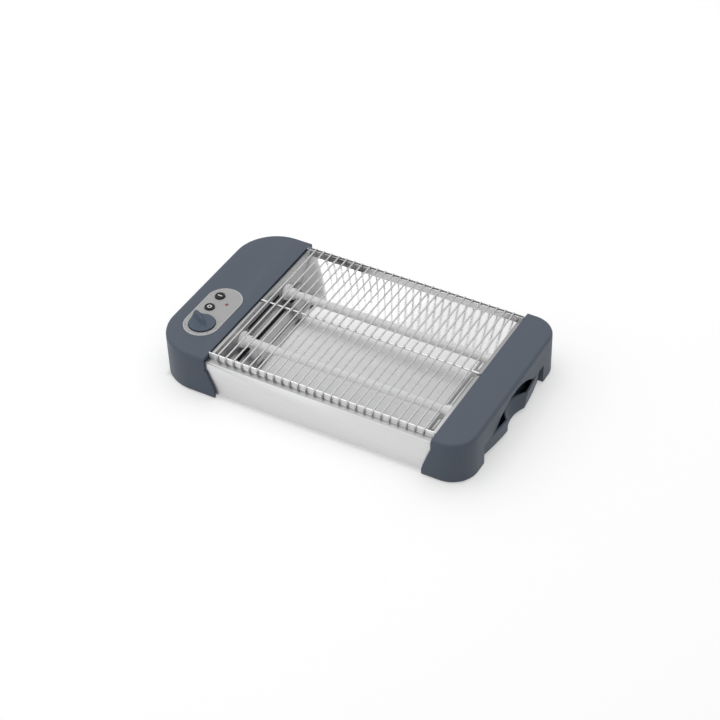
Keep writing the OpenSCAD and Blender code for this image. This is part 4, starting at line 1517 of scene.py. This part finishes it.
@dataclass
class EndPlate:
    """One slotted end plate of the trough: an upright wall, and a slope that runs down from it.

    The places of the slope's slots and its end are shares of the slope's run. Slots are widened by
    moving each of their long edges by the same small way.
    """

    node: str
    into: float
    edge: float = 0.00018
    lip: float = 0.004
    slope_run: float = 0.026
    slope_sine: float = 0.3335
    wall_slot: float = 0.0357
    wall_slot_half: float = 0.0345
    wall_slot_near: float = 0.003
    slope_slots: Tuple[float, float] = (0.28, 0.80)
    slope_slot_half: float = 0.0775
    slope_end: float = 0.05
    widen: float = 0.0006
    wall: float = field(init=False)
    slope: Vector = field(init=False)

    def __post_init__(self) -> None:
        """Find the place of the wall along X, and the direction that the slope faces."""
        low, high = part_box(self.node)
        self.wall = low.x + self.lip if self.into > 0.0 else high.x - self.lip
        self.slope = Vector((self.into * self.slope_sine, 0.0, math.sqrt(1.0 - self.slope_sine ** 2)))

    def build(self, shop: Workshop) -> None:
        """Make the plate with its punched slots.

        Args:
            shop: where the piece is finished.
        """
        piece = softened(self.node, self.node + "_sheet", self.edge, shortest=SHEET_SHORTEST,
                         keep=self.unslotted, shift=self.shift)
        # The slope, the wall and the slots' cut edges get lighter and darker copies of one steel: painted
        # light and painted shade.
        clad(piece, (PLATE_PAINTED_SHADE_STEEL, WALL_PAINTED_LIGHT_STEEL, SLOT_PAINTED_SHADE_STEEL), self.part)
        shop.finished(piece, Body.TOASTER, PLATE_PAINTED_SHADE_STEEL, (self.node,))

    def shift(self, point: Vector) -> Vector:
        """Tell how far a point on a slot's edge moves to widen the slot.

        Args:
            point: the point.

        Returns:
            The way that it moves, which is nothing for a point that is on no slot.
        """
        share = (point.x - self.wall) * self.into / self.slope_run
        if abs(share) < self.slope_end:
            above = point.z - self.wall_slot
            if abs(point.y) < self.wall_slot_half and abs(above) < self.wall_slot_near:
                return Vector((0.0, 0.0, math.copysign(self.widen, above)))
        elif 0.0 < share < 1.0 - self.slope_end and abs(point.y) < self.slope_slot_half:
            row = min(self.slope_slots, key=lambda one: abs(one - share))
            down = Vector((self.into * self.slope.z, 0.0, -self.slope_sine))
            return down * math.copysign(self.widen, share - row)
        return Vector((0.0, 0.0, 0.0))

    def unslotted(self, point: Vector) -> bool:
        """Tell whether a point lies on no slot, so that its edge may be rounded."""
        return self.shift(point).length == 0.0

    def part(self, face: bpy.types.MeshPolygon) -> int:
        """Tell the parts of the plate apart.

        Args:
            face: one of its faces.

        Returns:
            2 on a slot's cut edge, painted near-black as shade in the slot; 1 on the upright wall, painted
            lighter; 0 on the ledge and the slope, painted darker.
        """
        on_wall = abs(face.center.x - self.wall) < self.lip / 2
        flat = Vector((1.0, 0.0, 0.0)) if on_wall else self.slope
        if not self.unslotted(face.center) and abs(face.normal.dot(flat)) < 0.5:
            return 2
        return 1 if abs(face.normal.x) > 0.95 else 0


def clad(piece: bpy.types.Object, finishes: Sequence[Finish],
         part: Callable[[bpy.types.MeshPolygon], int]) -> None:
    """Give the faces of a folded sheet their finishes.

    Args:
        piece: the sheet.
        finishes: its finishes, copies of one steel in lighter and darker tones that paint highlight and
            shade onto parts of the sheet.
        part: chooses a finish's place in that list for a face.
    """
    for finish in finishes:
        piece.data.materials.append(finish.material())
    for face in piece.data.polygons:
        face.material_index = part(face)


@dataclass
class SteelTrough:
    """Outer panels, reflectors and end plates."""

    fold: float = 0.00030
    flange: float = 0.048
    above_flange: float = 0.0002
    under_flange: float = 0.0006

    def build(self, shop: Workshop) -> None:
        """Make every sheet-steel piece that stays put.

        Args:
            shop: where the pieces are finished.
        """
        # The panel's top flange gets painted shade, its front upstand a painted highlight and its rear
        # upstand painted shade, all as tones of the same steel.
        for node, upstand_painted_light in (("front_panel", UPSTAND_PAINTED_HIGHLIGHT_STEEL), ("rear_panel", REAR_UPSTAND_PAINTED_SHADE_STEEL)):
            piece = self.folded(node)
            clad(piece, (OUTER_STEEL, FLANGE_PAINTED_SHADE_STEEL, upstand_painted_light), self.panel_part)
            shop.finished(piece, Body.TOASTER, OUTER_STEEL, (node,))
        for node in ("front_reflector", "rear_reflector"):
            shop.finished(self.folded(node), Body.TOASTER, MIRROR_STEEL, (node,))
        for node, into in (("left_end_plate", 1.0), ("right_end_plate", -1.0)):
            EndPlate(node, into).build(shop)

    def folded(self, node: str) -> bpy.types.Object:
        """Return a CAD node's sheet with its folds rounded."""
        return softened(node, node + "_sheet", self.fold, segments=3, shortest=SHEET_SHORTEST)

    def panel_part(self, face: bpy.types.MeshPolygon) -> int:
        """Tell the parts of an outer panel apart.

        Args:
            face: one of its faces.

        Returns:
            2 on the upstand, with its painted highlight or painted shade; 1 on the top flange, with painted
            shade; 0 on the wall.
        """
        if face.center.z > self.flange + self.above_flange:
            return 2
        return 1 if face.normal.z > 0.98 and face.center.z > self.flange - self.under_flange else 0


@dataclass
class WireRack:
    """Cross wires hooked over the upstands, and the rod under them."""

    count: int = 26
    pitch: float = 0.010
    radius: float = 0.001
    bend: float = 0.0016
    level: float = 0.055
    rod_radius: float = 0.0012
    rod_bend: float = 0.0022

    def build(self, shop: Workshop) -> None:
        """Make the wires, and the centre rod with its ends bent down.

        Args:
            shop: where the pieces are finished.
        """
        low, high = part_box("rack_wires")
        wires = hooked_wire_tree().grown("rack_cross_wires", WIRE_STEEL, {
            "Count": self.count, "Pitch": self.pitch, "Half Length": high.y - self.radius,
            "Radius": self.radius, "Bend Radius": self.bend, "Leg": self.level - low.z,
            "Level": self.level, "Middle": (low.x + high.x) / 2})
        shop.finished(wires, Body.TOASTER, WIRE_STEEL, ("rack_wires",))
        low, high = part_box("rack_rod")
        level = high.z - self.rod_radius
        rod = hooked_wire_tree().grown("rack_centre_rod", ROD_STEEL, {
            "Count": 1, "Pitch": self.pitch, "Half Length": (high.x - low.x) / 2 - self.rod_radius,
            "Radius": self.rod_radius, "Bend Radius": self.rod_bend, "Leg": level - low.z,
            "Level": level, "Middle": 0.0})
        along = Matrix.Translation(((low.x + high.x) / 2, 0.0, 0.0))
        rod.data.transform(along @ Matrix.Rotation(math.pi / 2, 4, "Z"))
        shop.finished(rod, Body.TOASTER, ROD_STEEL, ("rack_rod",))


@dataclass
class Heaters:
    """Two quartz tubes with their coils, ceramic holders and terminals."""

    tube_wall: float = 0.001
    tube_round: float = 0.0004
    coil_turns: float = 130.0
    coil_inset: float = 0.0004
    coil_wire: float = 0.00035
    boss_radius: float = 0.0045
    flange_radius: float = 0.0095
    neck_radius: float = 0.0066
    boss_length: float = 0.011
    flange: float = 0.0045
    neck: float = 0.008
    bore: float = 0.00505
    stud: float = 0.00195
    web: float = 0.0015
    holder_sharp: float = 45.0

    def build(self, shop: Workshop) -> None:
        """Make both heaters.

        Args:
            shop: where the pieces are finished.
        """
        for side in ("front", "rear"):
            self.build_tube(shop, "quartz_tube_" + side)
            self.build_coil(shop, "heating_coil_" + side)
            for end, into in (("left", 1.0), ("right", -1.0)):
                self.build_holder(shop, "ceramic_" + side + "_" + end, into)
        shop.kept("tube_terminals", BRASS)
        shop.kept("link_lead", LEAD_SLEEVE)

    def build_tube(self, shop: Workshop, node: str) -> None:
        """Make one milky tube with fire-polished ends.

        Args:
            shop: where the piece is finished.
            node: the CAD node that it replaces.
        """
        low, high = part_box(node)
        _, y, z = middle(node)
        outer, length, soft = (high.y - low.y) / 2, high.x - low.x, self.tube_round
        inner = outer - self.tube_wall
        profile = rounded([(inner, length / 2, 0), (inner, 0.0, soft), (outer, 0.0, soft),
                           (outer, length, soft), (inner, length, soft), (inner, length / 2, 0)])
        build = lathed(profile, (low.x, y, z), Axis.X, steps=40, closed=True)
        shop.shaped(node + "_glass", build, SHARP, Body.TOASTER, QUARTZ, (node,))

    def build_coil(self, shop: Workshop, node: str) -> None:
        """Wind one heating coil.

        Args:
            shop: where the piece is finished.
            node: the CAD node that it replaces.
        """
        low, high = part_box(node)
        _, y, z = middle(node)
        coil = coil_tree().grown(node + "_winding", COIL_WIRE, {
            "Turns": self.coil_turns, "Radius": (high.y - low.y) / 2 - self.coil_inset,
            "Wire": self.coil_wire, "Length": high.x - low.x, "X": low.x, "Y": y, "Z": z})
        shop.finished(coil, Body.TOASTER, COIL_WIRE, (node,))

    def build_holder(self, shop: Workshop, node: str, into: float) -> None:
        """Make one stepped ceramic holder.

        Args:
            shop: where the piece is finished.
            node: the CAD node that it replaces.
            into: direction from it to the trough's middle along X, 1 or -1.
        """
        low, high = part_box(node)
        _, y, z = middle(node)
        face = low.x + self.boss_length if into > 0.0 else high.x - self.boss_length
        tip = self.flange + self.neck
        profile = rounded([
            (self.stud, self.web, 0), (self.stud, -self.boss_length, 0.0003),
            (self.boss_radius, -self.boss_length, 0.0006), (self.boss_radius, 0.0, 0.0),
            (self.flange_radius, 0.0, 0.0009), (self.flange_radius, self.flange, 0.0014),
            (self.neck_radius, self.flange, 0.0006), (self.neck_radius, tip, 0.0009),
            (self.bore, tip, 0.0003), (self.bore, self.web, 0.0), (self.stud, self.web, 0)])
        build = lathed(profile, (face, y, z), Axis.X, steps=56, flip=into, closed=True)
        shop.shaped(node + "_body", build, self.holder_sharp, Body.TOASTER, STEATITE, (node,))


@dataclass
class CrumbTray:
    """Sliding tray and its plastic pull: a bowed trough with a thumb scoop in its middle.

    The scoop's half width and depth are given at the pull's top and at its foot.
    """

    sheet_edge: float = 0.00025
    columns: int = 176
    levels: int = 8
    lowest: float = 0.03
    foot: float = 0.0052
    bow: float = 0.007
    straight: float = 0.020
    draft: float = 0.0022
    rim: float = 0.0026
    round: float = 0.0007
    full_depth_room: float = 0.002
    pull_sharp: float = 35.0
    scoop_top: Tuple[float, float] = (0.0245, 0.0125)
    scoop_foot: Tuple[float, float] = (0.0200, 0.0050)

    def face_x(self, y: float, share: float, front: float, half: float) -> float:
        """Place of the pull's outer face.

        Args:
            y: distance from the middle.
            share: height as a share of the pull's, from its foot.
            front: where the face's middle would lie without the scoop.
            half: the pull's half width.

        Returns:
            The x value in metres.
        """
        wall = front - self.draft * (1.0 - share)
        wall -= self.bow * max(0.0, (y * y - self.straight ** 2) / (half * half - self.straight ** 2))
        reach, depth = (foot + (top - foot) * share for foot, top in zip(self.scoop_foot, self.scoop_top))
        return wall - depth * max(0.0, 1.0 - (y / reach) ** 2)

    def column(self, y: float, low: Vector, high: Vector) -> Profile:
        """Section of the pull at one distance from its middle.

        Args:
            y: that distance.
            low: lowest corner of the pull's box.
            high: its highest corner.

        Returns:
            x and z pairs, round the section.
        """
        front, half, back = high.x, high.y, low.x
        height = high.z - self.foot
        points = [(back, self.foot), (self.face_x(y, 0.0, front, half) - self.round, self.foot)]
        for k in range(self.levels + 1):
            share = self.lowest + (1.0 - 2 * self.lowest) * k / self.levels
            points.append((self.face_x(y, share, front, half), self.foot + height * share))
        top = self.face_x(y, 1.0, front, half)
        inner = max(back + self.rim, top - self.rim)
        deep = (height - self.rim) * min(1.0, (inner - back - self.rim) / self.full_depth_room) ** 2
        lip, floor = high.z - min(self.round, deep), high.z - deep
        points += [(top - self.round * 0.3, high.z - self.round * 0.25), (top - self.round, high.z),
                   (inner + self.round * 0.4, high.z), (inner, lip), (inner, floor),
                   (back + self.rim, floor), (back + self.rim, lip), (back + self.rim * 0.8, high.z),
                   (back, high.z)]
        return points

    def build(self, shop: Workshop) -> None:
        """Make the tray, and the pull section by section.

        Args:
            shop: where the pieces are finished.
        """
        tray = softened("crumb_tray", "crumb_tray_pan", self.sheet_edge, shortest=SHEET_SHORTEST)
        shop.finished(tray, Body.TRAY, TRAY_STEEL, ("crumb_tray",))
        low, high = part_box("tray_pull")
        build = bmesh.new()
        rows = []
        for i in range(self.columns + 1):
            y = low.y + (high.y - low.y) * i / self.columns
            rows.append([build.verts.new((x, y, z)) for x, z in self.column(y, low, high)])
        count = len(rows[0])
        for one, two in zip(rows, rows[1:]):
            for i in range(count):
                j = (i + 1) % count
                build.faces.new((one[i], one[j], two[j], two[i]))
        build.faces.new(rows[0])
        build.faces.new(rows[-1])
        merge(build)
        shop.shaped("tray_pull_grip", build, self.pull_sharp, Body.TRAY, CAP_PLASTIC, ("tray_pull",))


@dataclass
class Underside:
    """Rubber pads, screws and the cord's gland."""

    pad_radius: float = 0.006
    pad_ring_depth: float = 0.0004
    pad_ring_shares: Tuple[float, float, float, float] = (0.8, 0.74, 0.5, 0.44)
    pads: Tuple[Point, ...] = (
        (-0.168, 0.078, 0.003), (-0.168, -0.078, 0.003), (0.169, 0.094, 0.002), (0.169, -0.094, 0.002),
    )
    seats: Tuple[Point, ...] = (
        (-0.184, 0.0, 0.005), (-0.132, -0.096, 0.005), (-0.132, 0.096, 0.005),
        (0.159, -0.0638, 0.014), (0.159, 0.0638, 0.014),
    )
    head: Tuple[float, float] = (0.003, 0.0018)
    shank: Tuple[float, float] = (0.0012, 0.012)
    gland_bore: float = 0.0035
    gland_radius: float = 0.006
    gland_rib: float = 0.0073
    gland_flange: float = 0.008
    gland_depths: Tuple[float, float, float, float] = (0.0048, 0.0028, 0.0013, 0.0004)
    gland_sharp: float = 35.0

    def build(self, shop: Workshop) -> None:
        """Make what closes and carries the toaster from below and behind.

        Args:
            shop: where the pieces are finished.
        """
        self.build_pads(shop)
        screws = screw_tree().grown("cross_screws", ZINC, {
            "Head Radius": self.head[0], "Head Height": self.head[1], "Shank Radius": self.shank[0],
            "Length": self.shank[1]}, self.seats)
        shop.finished(screws, Body.TOASTER, ZINC, ("cover_screws",))
        self.build_gland(shop)

    def build_pads(self, shop: Workshop) -> None:
        """Make four ringed rubber pads, each from its place and its top.

        Args:
            shop: where the piece is finished.
        """
        build = bmesh.new()
        radius, depth = self.pad_radius, self.pad_ring_depth
        brink, outer, inner, island = (radius * share for share in self.pad_ring_shares)
        for x, y, top in self.pads:
            profile = rounded([
                (0.0, top, 0), (radius, top, 0.0), (radius, 0.0, 0.0006), (brink, 0.0, 0.0),
                (outer, depth, 0.0), (inner, depth, 0.0), (island, 0.0, 0.0), (0.0, 0.0, 0)])
            turned(build, profile, (x, y, 0.0), Axis.Z, steps=40)
        shop.shaped("rubber_pads", build, SHARP, Body.TOASTER, RUBBER, ("rubber_feet",))

    def build_gland(self, shop: Workshop) -> None:
        """Make the ribbed gland that the cord would pass through.

        Args:
            shop: where the piece is finished.
        """
        low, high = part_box("cord_gland")
        x, _, z = middle("cord_gland")
        inside, back = low.y, high.y
        bore, body, rib, flange = self.gland_bore, self.gland_radius, self.gland_rib, self.gland_flange
        rib_start, rib_end, flange_start, groove = (back - depth for depth in self.gland_depths)
        profile = rounded([
            (bore, inside, 0), (body, inside, 0.0004), (body, rib_start, 0.0), (rib, rib_start, 0.0003),
            (rib, rib_end, 0.0003), (body, rib_end, 0.0), (body, flange_start, 0.0),
            (flange, flange_start, 0.0), (flange, back, 0.0006), (0.0056, back, 0.0003),
            (0.0052, groove, 0.0), (0.0046, groove, 0.0), (0.0042, back, 0.0002),
            (bore, back, 0.0002), (bore, inside, 0)])
        build = lathed(profile, (x, 0.0, z), Axis.Y, steps=48, closed=True)
        shop.shaped("cord_gland_body", build, self.gland_sharp, Body.TOASTER, RUBBER, ("cord_gland",))


@dataclass
class InnerElectrics:
    """Hidden electrical pieces, which keep their frame shapes."""

    kept: Tuple[Tuple[str, Finish], ...] = (
        ("timer_body", CREAM_PLASTIC), ("switch_block", DARK_PLASTIC), ("lamp_holder", DARK_PLASTIC),
        ("terminal_block", CREAM_PLASTIC), ("thermal_fuse", TURNED_STEEL), ("inner_leads", LEAD_SLEEVE),
    )

    def build(self, shop: Workshop) -> None:
        """Dress every hidden piece.

        Args:
            shop: where the pieces are finished.
        """
        for node, finish in self.kept:
            shop.kept(node, finish)


# ---------------------------------------------------------------- studio


@dataclass
class Studio:
    """Floor, soft lights, white surround and the camera.

    The floor and the surround are white to the camera and to mirrors. What they light is dimmer, so
    that the toaster keeps its shadow, and the floor doesn't glow under the body.
    """

    floor_size: float = 12.0
    floor_tone: float = 0.70
    floor_glow: float = 0.42
    covered: Tuple[float, float] = (0.186, 0.108)
    fade: float = 0.012
    surround_level: float = 0.50
    # Name, place, side in metres and power in watts.
    lights: Tuple[Tuple[str, Point, float, float], ...] = (
        ("key", (-1.1, 0.2, 1.6), 2.2, 8.5),
        ("top", (0.0, 0.1, 1.9), 1.6, 7.0),
        ("fill", (-1.4, -1.6, 0.8), 1.8, 6.0),
        ("back", (0.3, 1.7, 1.3), 2.0, 3.0),
    )
    lights_aim: Point = (0.0, 0.0, 0.02)
    camera_at: Point = (0.8014, -1.3496, 1.3637)
    camera_turn: Point = (49.2565, 1.5673, 29.2555)
    lens: float = 94.14

    def build(self) -> None:
        """Set up the whole studio."""
        self.build_floor()
        self.build_lights()
        self.build_world()
        self.build_camera()
        bpy.context.scene.view_settings.view_transform = "Standard"

    def build_floor(self) -> None:
        """Lay the white floor."""
        half = self.floor_size / 2
        mesh = bpy.data.meshes.new("floor")
        mesh.from_pydata([(-half, -half, 0), (half, -half, 0), (half, half, 0), (-half, half, 0)], [],
                         [(0, 1, 2, 3)])
        floor = new_object("floor", mesh)
        made = bpy.data.materials.new("floor_paper")
        made.use_nodes = True
        shade = ShadeTree(made.node_tree)
        spot = shade.add("ShaderNodeSeparateXYZ", {0: shade.add("ShaderNodeTexCoord").outputs["Object"]})
        beyond = [shade.math("SUBTRACT", shade.math("ABSOLUTE", spot.outputs[axis]), reach)
                  for axis, reach in zip("XY", self.covered)]
        bare = shade.spread(shade.math("MAXIMUM", *beyond), -self.fade, 0.0, 0.0, self.floor_glow)
        surface = made.node_tree.nodes["Principled BSDF"].inputs
        for name, value in (
                ("Base Color", toned(WHITE, self.floor_tone)), ("Roughness", 0.9),
                ("Specular IOR Level", 0.1), ("Emission Color", toned(WHITE)),
                ("Emission Strength", shade.math("MULTIPLY", shade.seen(), bare))):
            shade.fill(surface[name], value)
        mesh.materials.append(made)

    def build_lights(self) -> None:
        """Hang the soft boxes."""
        for name, place, size, power in self.lights:
            lamp = bpy.data.lights.new(name + "_box", "AREA")
            lamp.size = size
            lamp.energy = power
            made = bpy.data.objects.new(name + "_box", lamp)
            made.location = place
            aim = Vector(self.lights_aim) - Vector(place)
            made.rotation_euler = aim.to_track_quat("-Z", "Y").to_euler()
            bpy.context.scene.collection.objects.link(made)

    def build_world(self) -> None:
        """Surround the set with white."""
        world = bpy.data.worlds.new("surround")
        bpy.context.scene.world = world
        world.use_nodes = True
        shade = ShadeTree(world.node_tree)
        surround = world.node_tree.nodes["Background"].inputs
        shade.fill(surround["Color"], toned(WHITE))
        level = self.surround_level
        shade.fill(surround["Strength"], shade.math("MULTIPLY_ADD", shade.seen(), 1.0 - level, level))

    def build_camera(self) -> None:
        """Stand the camera where the photograph was taken from."""
        lens = bpy.data.cameras.new("camera")
        lens.lens = self.lens
        lens.sensor_width = 36.0
        lens.clip_start = 0.01
        camera = bpy.data.objects.new("camera", lens)
        camera.location = self.camera_at
        camera.rotation_euler = [math.radians(a) for a in self.camera_turn]
        bpy.context.scene.collection.objects.link(camera)
        bpy.context.scene.camera = camera


def main() -> None:
    """Build the toaster's looks in order."""
    logging.basicConfig(level=logging.INFO, format="%(name)s: %(message)s")
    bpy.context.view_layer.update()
    Studio().build()
    shop = Workshop()
    for assembly in (EndCaps(), Fascia(), Knob(), PushButtons(), SteelTrough(), WireRack(), Heaters(),
                     CrumbTray(), Underside(), InnerElectrics()):
        assembly.build(shop)
        LOG.info("%s done", type(assembly).__name__)
    LOG.info("%d pieces", len(shop.pieces))


if __name__ == "__main__":
    main()
